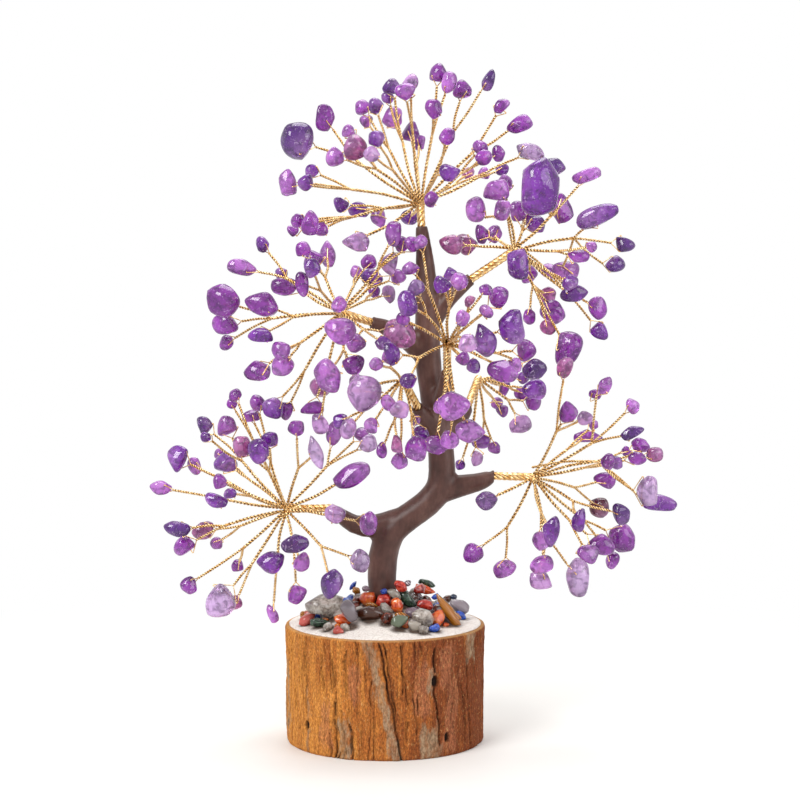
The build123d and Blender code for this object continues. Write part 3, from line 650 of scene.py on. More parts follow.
STONE_FINISHES = {
    StoneKind.QUARTZ: TumbledStone("clear_quartz", ("#857970", "#BDB2A7", "#E4DED6"), "#B9AFA2", 2.0, False, 0.4),
    StoneKind.JASPER: TumbledStone("red_jasper", ("#6E0F0C", "#B0251A", "#CF5A44"), "#C25A50", 1.5),
    StoneKind.CARNELIAN: TumbledStone("carnelian", ("#A82806", "#E0541A", "#F08C46"), "#E39468", 2.2, False, 0.15),
    StoneKind.AVENTURINE: TumbledStone("green_aventurine", ("#0F1A14", "#22392B", "#456149"), "#66705A", 1.0),
    StoneKind.TIGER_EYE: TumbledStone("tiger_eye", ("#4A2208", "#A85C10", "#D88E2A"), "#C8660F", 0.7, True),
    StoneKind.LAPIS: TumbledStone("lapis_lazuli", ("#0E1C58", "#1C46B4", "#4A78D4"), "#25303E", 0.9),
    StoneKind.GARNET: TumbledStone("garnet", ("#1E0804", "#541A0C", "#8A381C"), "#4A2410", 2.0, False, 0.12),
    StoneKind.AGATE: TumbledStone("grey_agate", ("#463E44", "#7A6E76", "#ADA1A8"), "#75606C", 0.8, True),
}


@dataclass
class TwistedWire:
    """Twisted wire laid along paths by a Geometry Nodes tree."""

    tree: Tree = field(init=False)

    def __post_init__(self) -> None:
        """Build the tree once; every wire of the object uses it."""
        self.tree = tree = bpy.data.node_groups.new("twisted_wire", "GeometryNodeTree")
        for label, kind in (
            ("Geometry", "Geometry"), ("Strands", "Int"), ("Strand Radius", "Float"), ("Lay Radius", "Float"),
            ("Pitch", "Float"), ("Steps per Turn", "Float"), ("Sides", "Int"), ("Material", "Material"),
        ):
            tree.interface.new_socket(label, in_out="INPUT", socket_type=f"NodeSocket{kind}")
        tree.interface.new_socket("Geometry", in_out="OUTPUT", socket_type="NodeSocketGeometry")
        given = add_node(tree, "NodeGroupInput").outputs
        strands = self.strands(given)
        laid = add_node(tree, "GeometryNodeSetPosition", {
            "Geometry": strands["Geometry"], "Offset": self.offset(given, strands["Duplicate Index"])})
        section = add_node(tree, "GeometryNodeCurvePrimitiveCircle", {
            "Resolution": given["Sides"], "Radius": given["Strand Radius"]}, mode="RADIUS")
        skin = add_node(tree, "GeometryNodeCurveToMesh", {
            "Curve": laid.outputs[0], "Profile Curve": section.outputs["Curve"], "Fill Caps": True})
        # this value marks where painted shade falls between the strands
        grooved = add_node(tree, "GeometryNodeStoreNamedAttribute", {
            "Geometry": skin.outputs[0], "Name": "groove", "Value": self.groove(given)},
            data_type="FLOAT", domain="POINT")
        clean = add_node(tree, "GeometryNodeRemoveAttribute", {"Geometry": grooved.outputs[0], "Name": "middle"})
        soft = add_node(tree, "GeometryNodeSetShadeSmooth", {"Geometry": clean.outputs[0]})
        real = add_node(tree, "GeometryNodeRealizeInstances", {"Geometry": soft.outputs[0]})
        done = add_node(tree, "GeometryNodeSetMaterial", {"Geometry": real.outputs[0], "Material": given["Material"]})
        add_node(tree, "NodeGroupOutput", {0: done.outputs[0]})

    def strands(self, given: bpy.types.NodeOutputs) -> bpy.types.NodeOutputs:
        """The even path, marked with its own places, once for each strand."""
        path = add_node(self.tree, "GeometryNodeMeshToCurve", {"Mesh": given["Geometry"]})
        step = compute(self.tree, "DIVIDE", given["Pitch"], given["Steps per Turn"])
        even = add_node(self.tree, "GeometryNodeResampleCurve", {
            "Curve": path.outputs[0], "Length": step}, mode="LENGTH")
        here = add_node(self.tree, "GeometryNodeInputPosition").outputs[0]
        marked = add_node(self.tree, "GeometryNodeStoreNamedAttribute", {
            "Geometry": even.outputs[0], "Name": "middle", "Value": here}, data_type="FLOAT_VECTOR", domain="POINT")
        return add_node(self.tree, "GeometryNodeDuplicateElements", {
            "Geometry": marked.outputs[0], "Amount": given["Strands"]}, domain="SPLINE").outputs

    def offset(self, given: bpy.types.NodeOutputs, number: Socket) -> Socket:
        """How far a strand's points lie off the path, turning as they go."""
        tree = self.tree
        along = add_node(tree, "GeometryNodeSplineParameter").outputs["Length"]
        turns = compute(tree, "DIVIDE", along, given["Pitch"])
        share = compute(tree, "DIVIDE", number, given["Strands"])
        angle = compute(tree, "MULTIPLY", compute(tree, "ADD", turns, share), 2 * math.pi)
        side = add_node(tree, "GeometryNodeInputNormal").outputs[0]
        ahead = add_node(tree, "GeometryNodeInputTangent").outputs[0]
        across = compute_vector(tree, "CROSS_PRODUCT", ahead, side).outputs[0]
        one = compute_vector(tree, "SCALE", side, compute(tree, "COSINE", angle)).outputs[0]
        two = compute_vector(tree, "SCALE", across, compute(tree, "SINE", angle)).outputs[0]
        out = compute_vector(tree, "ADD", one, two).outputs[0]
        return compute_vector(tree, "SCALE", out, given["Lay Radius"]).outputs[0]

    def groove(self, given: bpy.types.NodeOutputs) -> Socket:
        """How far out of the twist a point lies: one on its outside, less in the grooves; it sets where the painted
        shade of the grooves falls.
        """
        here = add_node(self.tree, "GeometryNodeInputPosition").outputs[0]
        middle = add_node(self.tree, "GeometryNodeInputNamedAttribute", {"Name": "middle"}, data_type="FLOAT_VECTOR")
        away = compute_vector(self.tree, "DISTANCE", here, middle.outputs[0]).outputs["Value"]
        reach = compute(self.tree, "ADD", given["Lay Radius"], given["Strand Radius"])
        return compute(self.tree, "DIVIDE", away, reach)

    def lay(self, name: str, paths: list[np.ndarray], sizes: dict[str, object]) -> Piece:
        """Lay wire along paths.

        Args:
            name: the piece's name.
            paths: the middle lines, in metres.
            sizes: the tree's inputs by name.

        Returns:
            A plain mesh piece.
        """
        points = np.vstack(paths)
        pairs = []
        start = 0
        for path in paths:
            pairs += [(start + i, start + i + 1) for i in range(len(path) - 1)]
            start += len(path)
        piece = mesh_piece(name, points, pairs, smooth=False)
        piece.data.materials.append(sizes["Material"])
        modifier = piece.modifiers.new("twist", "NODES")
        modifier.node_group = self.tree
        for item in self.tree.interface.items_tree:
            if item.in_out == "INPUT" and item.name in sizes:
                modifier[item.identifier] = sizes[item.name]
        return bake_modifiers(piece)


@dataclass
class TumbledShapes:
    """Turns the many-sided solids of a CAD node into tumbled stones."""

    levels: int = 2
    keep: float = 1.0
    dent: float = 0.05
    dents_across: float = 2.2
    crease_high: float = 0.4
    taper: float = 0.36
    bend: float = 0.4
    flat: float = 0.6
    flat_high: float = 0.95
    flat_angle: float = 0.03
    noise_room: float = 50.0

    def shaped(self, solid: np.ndarray, rng: random.Random) -> np.ndarray:
        """Make a stone's corners less even: one end slimmer, one or two sides worn flat.

        Args:
            solid: its corners.
            rng: source of its chances.

        Returns:
            The new corners.
        """
        middle = solid.mean(0)
        own = solid - middle
        axes = np.linalg.svd(own, full_matrices=False)[2]
        local = own @ axes.T
        half = np.abs(local).max(0)
        share = local[:, 0] / half[0]
        local[:, 1:] *= (1 + rng.uniform(-self.taper, self.taper) * share)[:, None]
        local[:, 1] += rng.uniform(-self.bend, self.bend) * half[1] * share**2
        for _ in range(rng.choice((1, 2, 3))):
            way = unit(np.array([rng.gauss(0, 1) for _ in range(3)]) / half)
            along = local @ way
            limit = rng.uniform(self.flat, self.flat_high) * along.max()
            local -= np.outer(np.maximum(along - limit, 0), way)
        return middle + local @ axes

    def hulls(self, name: str, solids: list[np.ndarray], rng: random.Random) -> Piece:
        """Make one piece of the flat-sided stones; each vertex knows its stone's number.

        Args:
            name: the piece's name.
            solids: corners of each stone.
            rng: source of their chances.

        Returns:
            The piece, with creases on its edges.
        """
        points: list = []
        faces: list = []
        numbers: list[float] = []
        for number, solid in enumerate(solids):
            hull = bmesh.new()
            for place in self.shaped(solid, rng):
                hull.verts.new(place)
            made = bmesh.ops.convex_hull(hull, input=hull.verts)
            spare = [g for g in made["geom_interior"] + made["geom_unused"] if isinstance(g, bmesh.types.BMVert)]
            bmesh.ops.delete(hull, geom=list(set(spare)), context="VERTS")
            bmesh.ops.dissolve_limit(hull, angle_limit=self.flat_angle, verts=hull.verts, edges=hull.edges)
            hull.verts.index_update()
            base = len(points)
            points += [tuple(v.co) for v in hull.verts]
            faces += [[base + v.index for v in f.verts] for f in hull.faces]
            numbers += [float(number)] * len(hull.verts)
            hull.free()
        piece = mesh_piece(name, np.array(points), faces)
        piece.data.attributes.new("stone", "FLOAT", "POINT").data.foreach_set("value", numbers)
        creases = [rng.uniform(0.0, self.crease_high) for _ in piece.data.edges]
        piece.data.attributes.new("crease_edge", "FLOAT", "EDGE").data.foreach_set("value", creases)
        return piece

    def fitted(self, own: np.ndarray, solid: np.ndarray, rng: random.Random) -> np.ndarray:
        """Fit a stone's rounded points to the box of its solid and dent them a little."""
        low, high = solid.min(0), solid.max(0)
        own = (own - (own.max(0) + own.min(0)) / 2) * (self.keep * (high - low) / (own.max(0) - own.min(0)))
        width = float(np.mean(high - low))
        shift = Vector([rng.uniform(0, self.noise_room) for _ in range(3)])
        for row in own:
            row *= 1 + self.dent * noise.noise(Vector(row) * (self.dents_across / width) + shift)
        return own + (low + high) / 2

    def build(self, name: str, node: str, seed: int) -> tuple[Piece, np.ndarray, list[np.ndarray]]:
        """Make one piece of all the stones of a node.

        Args:
            name: the piece's name.
            node: the CAD node.
            seed: seed of its small irregularities.

        Returns:
            The piece, the stone number of each vertex and the middles of the stones.
        """
        rng = random.Random(seed)
        solids = solids_of(node)
        piece = self.hulls(name, solids, rng)
        rounding = piece.modifiers.new("round", "SUBSURF")
        rounding.levels = rounding.render_levels = self.levels
        bake_modifiers(piece)
        owner = np.zeros(len(piece.data.vertices), np.float32)
        piece.data.attributes["stone"].data.foreach_get("value", owner)
        owner = np.rint(owner).astype(int)
        places = vertex_places(piece.data)
        for number, solid in enumerate(solids):
            places[owner == number] = self.fitted(places[owner == number], solid, rng)
        piece.data.vertices.foreach_set("co", places.ravel())
        piece.data.update()
        return piece, owner, [(solid.min(0) + solid.max(0)) / 2 for solid in solids]


@dataclass
class Spray:
    """One fan of wire and chips on its rope."""

    name: str
    wire: TwistedWire
    gold: Material
    eye_gold: Material
    amethyst: Material
    twig_radius: float = 0.28 * MM
    twig_pitch: float = 2.2 * MM
    stem_radius: float = 0.34 * MM
    stem_pitch: float = 3.0 * MM
    rope_strands: int = 5
    rope_strand_radius: float = 0.68 * MM
    rope_lay: float = 1.0 * MM
    rope_pitch: float = 11.0 * MM
    rope_in: float = 0.8 * MM
    rope_past: float = 0.6 * MM
    hub_inset: float = 1.5 * MM
    hub_reach: float = 1.6 * MM
    # places along the rope and off it where a stem leaves the rope's end
    fan_rows: tuple[tuple[float, float], ...] = ((-4.5 * MM, 0.8 * MM), (-1.2 * MM, 1.1 * MM))
    fan_start: float = 2.8 * MM
    fan_lift: float = 0.3 * MM
    fork_lap: float = 1.4 * MM
    fork_round: float = 0.5 * MM
    twig_straight: float = 0.8 * MM
    twig_past: float = 0.3 * MM
    bow: float = 0.045
    chip_keep: float = 1.1
    chip_seed: int = 5
    pivot: np.ndarray = field(init=False)
    hub: np.ndarray = field(init=False)
    rope_dir: np.ndarray = field(init=False)

    def __post_init__(self) -> None:
        """Read the rope's two ends from the frame."""
        joint = next(j for j in frame["joints"] if j["name"] == f"{self.name}_bend")
        self.pivot = np.array(joint["pos_m"], float)
        places = vertex_places(frame["nodes"][f"{self.name}_rope"].data)
        along = (places - self.pivot) @ unit(places.mean(0) - self.pivot)
        self.rope_dir = unit(places[along > 0.6 * along.max()].mean(0) - self.pivot)
        self.hub = self.pivot + self.rope_dir * (((places - self.pivot) @ self.rope_dir).max() - self.hub_inset)

    @property
    def body(self) -> str:
        """The CAD body that the spray rides on."""
        return f"{self.name}_spray"

    def rods(self) -> list[tuple[np.ndarray, np.ndarray]]:
        """The two ends of every straight wire of the CAD node."""
        ends = []
        for solid in solids_of(f"{self.name}_twigs"):
            middle = solid.mean(0)
            axis = np.linalg.svd(solid - middle, full_matrices=False)[2][0]
            along = (solid - middle) @ axis
            ends.append((middle + axis * along.min(), middle + axis * along.max()))
        return ends

    def bowed(self, start: np.ndarray, end: np.ndarray, rng: random.Random) -> np.ndarray:
        """A point half way along a wire, a little off the straight line."""
        run = end - start
        side = np.cross(run, (rng.uniform(-1, 1), rng.uniform(-1, 1), rng.uniform(-1, 1)))
        return start + 0.5 * run + unit(side) * np.linalg.norm(run) * rng.uniform(0.2, 1.0) * self.bow

    def stem_corners(self, fork: np.ndarray, rng: random.Random) -> list[np.ndarray]:
        """Points that a stem passes from inside the rope's end to its fork."""
        out = unit(fork - self.hub)
        side = out - self.rope_dir * (out @ self.rope_dir)
        side = unit(side) if np.linalg.norm(side) > 0.05 else unit(np.cross(out, (0.3, 1, 0.2)))
        start = self.hub + out * self.fan_start
        return [
            *(self.hub + self.rope_dir * along + side * off for along, off in self.fan_rows),
            start + side * self.fan_lift, self.bowed(start, fork, rng), fork,
        ]

    def wire_paths(self) -> tuple[list[np.ndarray], list[np.ndarray]]:
        """Paths of the stems, fanning out of the rope's end, and of the twigs after the forks."""
        rng = random.Random(self.name)
        stems = []
        twigs = []
        forks = []
        later = []
        for ends in self.rods():
            near, far = sorted(ends, key=lambda end: np.linalg.norm(end - self.hub))
            if np.linalg.norm(near - self.hub) > self.hub_reach:
                later.append(ends)
                continue
            path = smooth_line(self.stem_corners(far, rng))
            stems.append(path)
            forks.append((far, unit(path[-1] - path[-3])))
        for ends in later:
            fork, lead = min(forks, key=lambda f: min(np.linalg.norm(f[0] - end) for end in ends))
            end = max(ends, key=lambda e: np.linalg.norm(e - fork))
            run = unit(end - fork)
            twigs.append(smooth_line([
                fork - lead * self.fork_lap, fork + (lead + run) * self.fork_round, self.bowed(fork, end, rng),
                end - run * self.twig_straight, end + run * self.twig_past,
            ]))
        return stems, twigs

    def build_wires(self) -> None:
        """Lay the rope, the stems and the twigs."""
        stems, twigs = self.wire_paths()
        for part, paths, radius, pitch in (
            ("stem_wire", stems, self.stem_radius, self.stem_pitch),
            ("twig_wire", twigs, self.twig_radius, self.twig_pitch),
        ):
            piece = self.wire.lay(f"{self.name}_{part}", paths, {
                "Material": self.gold, "Sides": 6, "Strands": 2, "Steps per Turn": 10.0, "Strand Radius": radius,
                "Lay Radius": radius, "Pitch": pitch})
            show(piece, self.body, [f"{self.name}_twigs"])
        run = smooth_line([
            self.pivot - self.rope_dir * self.rope_in, (self.pivot + self.hub) / 2,
            self.hub + self.rope_dir * self.rope_past])
        rope = self.wire.lay(f"{self.name}_wire_rope", [run], {
            "Material": self.gold, "Sides": 8, "Strands": self.rope_strands, "Steps per Turn": 28.0,
            "Strand Radius": self.rope_strand_radius, "Lay Radius": self.rope_lay, "Pitch": self.rope_pitch})
        show(rope, self.body, [f"{self.name}_rope"])
        dress(frame["nodes"][f"{self.name}_eyes"], self.eye_gold)

    def build_chips(self, tones: "ChipTones") -> None:
        """Round the chips and give each its tone.

        Args:
            tones: how chips are coloured.
        """
        piece, owner, middles = TumbledShapes(keep=self.chip_keep).build(
            f"{self.name}_amethyst", f"{self.name}_chips", SPRAY_NAMES.index(self.name) + self.chip_seed)
        paint(piece, "tone", tones.colours(vertex_places(piece.data), owner, middles, self.name))
        dress(piece, self.amethyst)
        show(piece, self.body, [f"{self.name}_chips"])


@dataclass
class ChipTones:
    """Chooses the body colour of each chip, paler toward one end and darker toward the other."""

    spread: tuple[tuple[Tone, int], ...] = (
        (Tone.MID, 36), (Tone.VIVID, 19), (Tone.LIGHT, 25), (Tone.DARK, 5), (Tone.PINK, 9), (Tone.PALE, 6),
    )
    pale_end: float = 0.45
    pale_fall: float = 1.5
    dark_end: float = 0.5
    dark_fall: float = 1.2
    # Front-view places, in mm, of chips that stand out in tone
    chosen: tuple[tuple[float, float, Tone], ...] = (
        (-35, 240, Tone.DARK), (3, 262, Tone.DARK), (58, 236, Tone.CLEAR), (-11, 236, Tone.PINK),
        (-11, 200, Tone.PALE), (43, 220, Tone.LIGHT), (60, 221, Tone.VIVID), (67, 230, Tone.DARK),
        (84, 210, Tone.VIVID), (91, 191, Tone.DARK), (-63.5, 177, Tone.MID), (-47.5, 176, Tone.MID),
        (-21.5, 149, Tone.LIGHT), (5.5, 164, Tone.PINK), (-16.5, 166, Tone.LIGHT), (1, 191, Tone.PALE),
        (26, 139, Tone.LIGHT), (44, 152, Tone.MID), (-7, 142, Tone.PALE), (48, 168, Tone.VIVID),
        (38, 163, Tone.VIVID), (61, 141, Tone.VIVID), (57, 152, Tone.DARK), (73, 157, Tone.MID),
        (73, 188, Tone.LIGHT), (68, 172, Tone.MID), (104.4, 101, Tone.CLEAR), (88.4, 90, Tone.RED),
        (77.4, 65, Tone.CLEAR), (-26.6, 118, Tone.CLEAR), (-65.6, 57, Tone.CLEAR), (-9.6, 75, Tone.CLEAR),
        (-6.6, 119, Tone.CLEAR), (-74.6, 82, Tone.PINK), (-20.6, 68, Tone.DARK), (-12.6, 108, Tone.MID),
    )
    near_mm: float = 3.5
    brightness: tuple[float, float] = (0.85, 1.12)

    def colours(
        self, places: np.ndarray, owner: np.ndarray, middles: list[np.ndarray], seed: str
    ) -> np.ndarray:
        """Linear colours for all vertices of one spray's chips.

        Args:
            places: vertex places in metres.
            owner: chip number of each vertex.
            middles: middles of the chips.
            seed: text that fixes the choice.

        Returns:
            One RGBA row per vertex.
        """
        rng = random.Random(seed)
        names = [t for t, _ in self.spread]
        weights = [w for _, w in self.spread]
        rows = np.ones((len(places), 4))
        for number, middle in enumerate(middles):
            tone = rng.choices(names, weights)[0]
            for x, z, special in self.chosen:
                if math.hypot(middle[0] / MM - x, middle[2] / MM - z) < self.near_mm:
                    tone = special
            own = owner == number
            way = unit(np.array([rng.gauss(0, 1) for _ in range(3)]))
            along = (places[own] - middle) @ way
            share = along / max(np.abs(along).max(), 1e-6)
            base = np.array(linear(tone.value)[:3]) * rng.uniform(*self.brightness)
            pale = np.array(linear(Tone.PALE.value)[:3])
            light = (np.clip(share, 0, 1) ** self.pale_fall * self.pale_end)[:, None]
            dark = (np.clip(-share, 0, 1) ** self.dark_fall * self.dark_end)[:, None]
            rows[own, :3] = (base + (pale - base) * light) * (1 - dark)
        return rows


@dataclass
class Trunk:
    """The moulded trunk: the CAD skin with rounded forks and hand-made unevenness."""

    voxel: float = 0.6 * MM
    smoothing: int = 8
    fork_smoothing: int = 120
    last_smoothing: int = 3
    lump: float = 0.22 * MM
    lump_width: float = 7 * MM
    ripple: float = 0.3
    ripple_width: float = 2.2 * MM

    def smoothed(self, piece: Piece, iterations: int) -> np.ndarray:
        """Vertex places of a piece after smoothing, with the piece left as it is."""
        soften = piece.modifiers.new("soften", "SMOOTH")
        soften.factor = 0.5
        soften.iterations = iterations
        evaluated = piece.evaluated_get(bpy.context.evaluated_depsgraph_get())
        places = vertex_places(evaluated.data)
        piece.modifiers.remove(soften)
        return places

    def build(self) -> None:
        """Remesh a copy of the CAD skin, fill the forks with clay and add lumps."""
        work = bmesh.new()
        work.from_mesh(frame["nodes"]["trunk_skin"].data)
        bmesh.ops.remove_doubles(work, verts=work.verts, dist=WELD)
        mesh = bpy.data.meshes.new("trunk_clay")
        work.to_mesh(mesh)
        work.free()
        piece = bpy.data.objects.new("trunk_clay", mesh)
        bpy.context.scene.collection.objects.link(piece)
        voxels = piece.modifiers.new("voxels", "REMESH")
        voxels.mode = "VOXEL"
        voxels.voxel_size = self.voxel
        bake_modifiers(piece)
        places = self.smoothed(piece, self.smoothing)
        normals = np.zeros(len(places) * 3)
        piece.data.vertices.foreach_get("normal", normals)
        normals = normals.reshape(-1, 3)
        fill = ((self.smoothed(piece, self.fork_smoothing) - places) * normals).sum(1)
        places += normals * np.maximum(fill, 0)[:, None]
        for row, normal in zip(places, normals):
            wave = noise.noise(Vector(row) / self.lump_width)
            wave += self.ripple * noise.noise(Vector(row) / self.ripple_width)
            row += normal * wave * self.lump
        piece.data.vertices.foreach_set("co", places.ravel())
        piece.data.update()
        piece.data.vertices.foreach_set("co", self.smoothed(piece, self.last_smoothing).ravel())
        dress(piece, MouldedTrunk().material())
        piece.data.polygons.foreach_set("use_smooth", [True] * len(piece.data.polygons))
        piece.data.update()
        show(piece, "stand", ["trunk_skin"])
        dress(frame["nodes"]["trunk_core_wire"], GoldWire("core_wire", twisted=False).material())


@dataclass
class LogSlice:
    """The log with its bark: relief, cracks and flakes as the front of the real one shows them."""

    height: float = 47 * MM
    foot_radius: float = 39.6 * MM
    top_radius: float = 40.2 * MM
    inner_radius: float = 36.8 * MM
    mean_radius_mm: float = 40.0
    around: int = 760
    rows: int = 118
    crack_depth: float = 1.5 * MM
    crack_edge_mm: float = 0.3
    knot_edge_mm: float = 0.4
    patch_edge_mm: float = 1.2
    rim_mm: float = 1.2
    rim_drop_mm: float = 0.5
    # waves per mm round the log and up it, number of layers, shift of the pattern
    ragged_waves: tuple[float, float, int, float] = (0.55, 0.16, 4, 0.0)
    fibre_waves: tuple[float, float, int, float] = (1.5, 0.3, 3, 20.0)
    plate_waves: tuple[float, float, int, float] = (0.13, 0.05, 2, 50.0)
    wobble_waves: tuple[float, float, int, float] = (0.09, 0.12, 2, 80.0)
    wave_fall: float = 0.8
    wave_step: float = 2.1
    ragged_share: float = 0.6
    wobble_mm: float = 1.2
    fibre_mm: float = 0.18
    plate_mm: float = 0.4
    flake_mm: float = 0.3
    inset_mm: float = 0.2
    highest_mm: float = 0.5
    blush_share: float = 0.45
    hairlines: int = 170
    hairline_seed: int = 4
    # degrees round from the front and height in mm at both ends of a crack, then its width in mm
    cracks: tuple[tuple[float, float, float, float, float], ...] = (
        (-64, 35, -63, 2, 0.4), (-50, 46, -50.5, 34, 0.5), (-50.5, 31, -51, 15, 0.4), (-38, 40, -37.5, 26, 0.3),
        (-28.5, 22, -29, -1, 0.7), (-20, 14, -19, -1, 0.6), (-3, 46, 10, -1, 0.8), (-0.5, 46, 6, 20, 0.4),
        (9, 45, 13, 22, 0.35), (16, 30, 19, 10, 0.2), (28.5, 43, 29.5, 34, 0.7), (29.5, 28, 33, 5, 0.6),
        (54.5, 37, 55, 21, 0.6), (57, 19, 60, -1, 0.5), (49, 28, 52, 8, 0.3), (-80, 30, -78, 4, 0.5),
        (-32, 41, -32, 27, 0.25), (-30.3, 40, -30.6, 26, 0.2), (-29.2, 36, -29.4, 28, 0.15),
        (78, 48, 80, 22, 0.7), (97, 48, 99, 8, 0.8), (112, 20, 111, -1, 0.5), (128, 30, 130, -1, 0.6),
        (146, 48, 144, 26, 0.5), (163, 48, 166, -1, 0.9), (182, 30, 183, 4, 0.5), (199, 40, 197, 12, 0.6),
        (214, 48, 216, 30, 0.5), (231, 36, 229, -1, 0.8), (247, 22, 248, -1, 0.5), (264, 48, 262, 20, 0.6),
    )
    # degrees, height in mm, half width in degrees, half height in mm, lean in degrees per mm of height
    flakes: tuple[tuple[float, float, float, float, float], ...] = (
        (-1, 23, 2.9, 25, -0.36), (-23.5, 7, 3.2, 8, 0), (27, 6, 6, 7, 0), (58, 42, 4, 6, 0), (-74, 20, 2.5, 14, 0),
        (-49.7, 20, 0.8, 6, 0), (-49.7, 6, 0.6, 5, 0), (26.5, 31, 1.8, 4, 0),
        (105, 30, 4, 14, 0.1), (140, 12, 5, 13, 0), (171, 30, 4, 18, -0.15), (206, 18, 5, 12, 0.1),
        (240, 34, 4, 12, 0), (273, 12, 4, 12, 0),
    )
    # the same sizes for patches of pinkish fibre
    blushes: tuple[tuple[float, float, float, float, float], ...] = (
        (22, 27, 5, 10, 0), (41, 17, 4.5, 15, 0.1), (38, 36, 5, 8, 0), (-36, 13, 4, 8, 0), (-17, 30, 3, 7, 0),
        (120, 30, 6, 14, 0), (190, 20, 6, 14, 0), (255, 28, 5, 14, 0),
    )
    # degrees, height and radius in mm of knot holes, which are darkened as painted shade
    knots: tuple[tuple[float, float, float], ...] = (
        (29.5, 30, 1.3), (38, 7.5, 1.0), (-50.5, 11, 0.8), (82, 40, 1.4), (78, 26, 1.2), (150, 18, 1.4),
        (222, 27, 1.2),
    )

    def waves(self, across: float, up: float, octaves: int, shift: float) -> np.ndarray:
        """Noise over the bark's grid of rows and steps.

        Args:
            across: waves per mm round the log.
            up: waves per mm of height.
            octaves: how many layers are added up.
            shift: moves the pattern.

        Returns:
            Values of about -1 to 1.
        """
        made = np.zeros((self.rows + 1, self.around))
        for row in range(self.rows + 1):
            high = row / self.rows * self.height / MM * up + shift
            for step in range(self.around):
                turn = 2 * math.pi * step / self.around
                around = self.mean_radius_mm * across
                place = Vector((around * math.sin(turn), -around * math.cos(turn), high))
                made[row, step] = noise.fractal(place, self.wave_fall, self.wave_step, octaves)
        return made

    def fine_cracks(self) -> list[tuple[float, float, float, float, float]]:
        """Many hairline cracks between the large ones."""
        rng = random.Random(self.hairline_seed)
        made = []
        for _ in range(self.hairlines):
            at, low = rng.uniform(-180, 180), rng.uniform(-4, 42)
            made.append((at + rng.uniform(-1.5, 1.5), low + rng.uniform(5, 20), at, low, rng.uniform(0.05, 0.3)))
        return made

    def off_line(self, degrees: np.ndarray, middle: np.ndarray | float) -> np.ndarray:
        """How far round the log, in mm, spots lie from a line."""
        return ((degrees - middle + 180) % 360 - 180) * math.radians(1) * self.mean_radius_mm

    def masks(self, wobble: np.ndarray, ragged: np.ndarray) -> tuple[np.ndarray, np.ndarray, np.ndarray]:
        """How much of crack with its painted shade, grey flake and pinkish fibre each spot of bark is.

        Args:
            wobble: sideways unevenness in mm.
            ragged: finer unevenness of the edges.

        Returns:
            The three shares over the grid.
        """
        degrees = np.arange(self.around)[None] * 360 / self.around
        height = np.arange(self.rows + 1)[:, None] / self.rows * self.height / MM
        crack_and_shade, flake, blush = (np.zeros_like(wobble) for _ in range(3))
        for d0, h0, d1, h1, width in [*self.cracks, *self.fine_cracks()]:
            t = np.clip((height - h0) / (h1 - h0), 0, 1)
            off = self.off_line(degrees, d0 + t * (d1 - d0)) + 0.9 * wobble + 0.3 * ragged
            taper = width * (0.3 + 0.7 * np.sin(math.pi * (0.1 + 0.8 * t)))
            past = np.maximum(0, np.abs(height - (h0 + h1) / 2) - abs(h0 - h1) / 2)
            near = 1 - np.maximum(0, np.hypot(off, past) - taper / 2) / self.crack_edge_mm
            crack_and_shade = np.maximum(crack_and_shade, near * np.clip(0.72 + 0.9 * ragged, 0.1, 1) * min(1, 0.45 + width))
        # knot holes join the cracks and their painted shade
        for d0, h0, radius in self.knots:
            out = np.hypot(self.off_line(degrees, d0), 0.7 * (height - h0)) + 0.5 * wobble - radius
            crack_and_shade = np.maximum(crack_and_shade, 1 - np.maximum(0, out) / self.knot_edge_mm)
        for row in self.flakes:
            flake = np.maximum(flake, self.patch(degrees, height, row, wobble, ragged))
        for row in self.blushes:
            blush = np.maximum(blush, self.blush_share * self.patch(degrees, height, row, wobble, ragged))
        crack_and_shade = np.clip(crack_and_shade, 0, 1) * np.clip((self.height / MM - height) / 1.5, 0.4, 1)
        return crack_and_shade, flake, blush

    def patch(
        self, degrees: np.ndarray, height: np.ndarray, row: tuple, wobble: np.ndarray, ragged: np.ndarray
    ) -> np.ndarray:
        """Share of a ragged upright patch given by one row of sizes."""
        d0, h0, half, tall, lean = row
        off = np.abs(self.off_line(degrees, d0 + lean * (height - h0)) + wobble)
        edge = np.maximum(off - half * math.radians(1) * self.mean_radius_mm, (np.abs(height - h0) - tall) * 0.45)
        return np.clip(0.5 - edge / self.patch_edge_mm + 2.2 * ragged, 0, 1)

    def build(self) -> None:
        """Build the bark as a closed ring with its relief, and dress the wood inside."""
        ragged, fibre, plate, wobble = (self.waves(*row) for row in (
            self.ragged_waves, self.fibre_waves, self.plate_waves, self.wobble_waves))
        crack_and_shade, flake, blush = self.masks(self.wobble_mm * wobble, self.ragged_share * ragged)
        share = np.arange(self.rows + 1)[:, None] / self.rows
        height = share * self.height / MM
        edge = np.maximum(0, 1 - np.minimum(height, self.height / MM - height) / self.rim_mm)
        relief = self.fibre_mm * fibre + self.plate_mm * plate + self.flake_mm * flake
        relief -= self.crack_depth / MM * crack_and_shade + self.rim_drop_mm * edge**2 + self.inset_mm
        relief = np.minimum(relief, self.highest_mm)
        radius = self.foot_radius + share * (self.top_radius - self.foot_radius) + relief * MM
        inner = np.full((2, self.around), self.inner_radius)
        radius = np.vstack([radius, inner])
        height = np.vstack([height * MM, [[self.height], [0.0]]])
        turn = 2 * math.pi * np.arange(self.around) / self.around
        places = np.broadcast_arrays(radius * np.sin(turn), -radius * np.cos(turn), height)
        points = np.stack(places, -1).reshape(-1, 3)
        colours = np.stack([crack_and_shade, 0.9 * flake, blush, np.ones_like(crack_and_shade)], -1).reshape(-1, 4)
        inside = np.tile((0.0, 0.0, 0.4, 1.0), (inner.size, 1))
        faces = ring_faces(self.rows + 3, self.around)
        piece = mesh_piece("bark_ring", points, faces, FibrousBark().material())
        paint(piece, "bark", np.vstack([colours, inside]))
        show(piece, "stand", ["bark_sleeve"])
        dress(frame["nodes"]["log_core"], SawnWood().material())


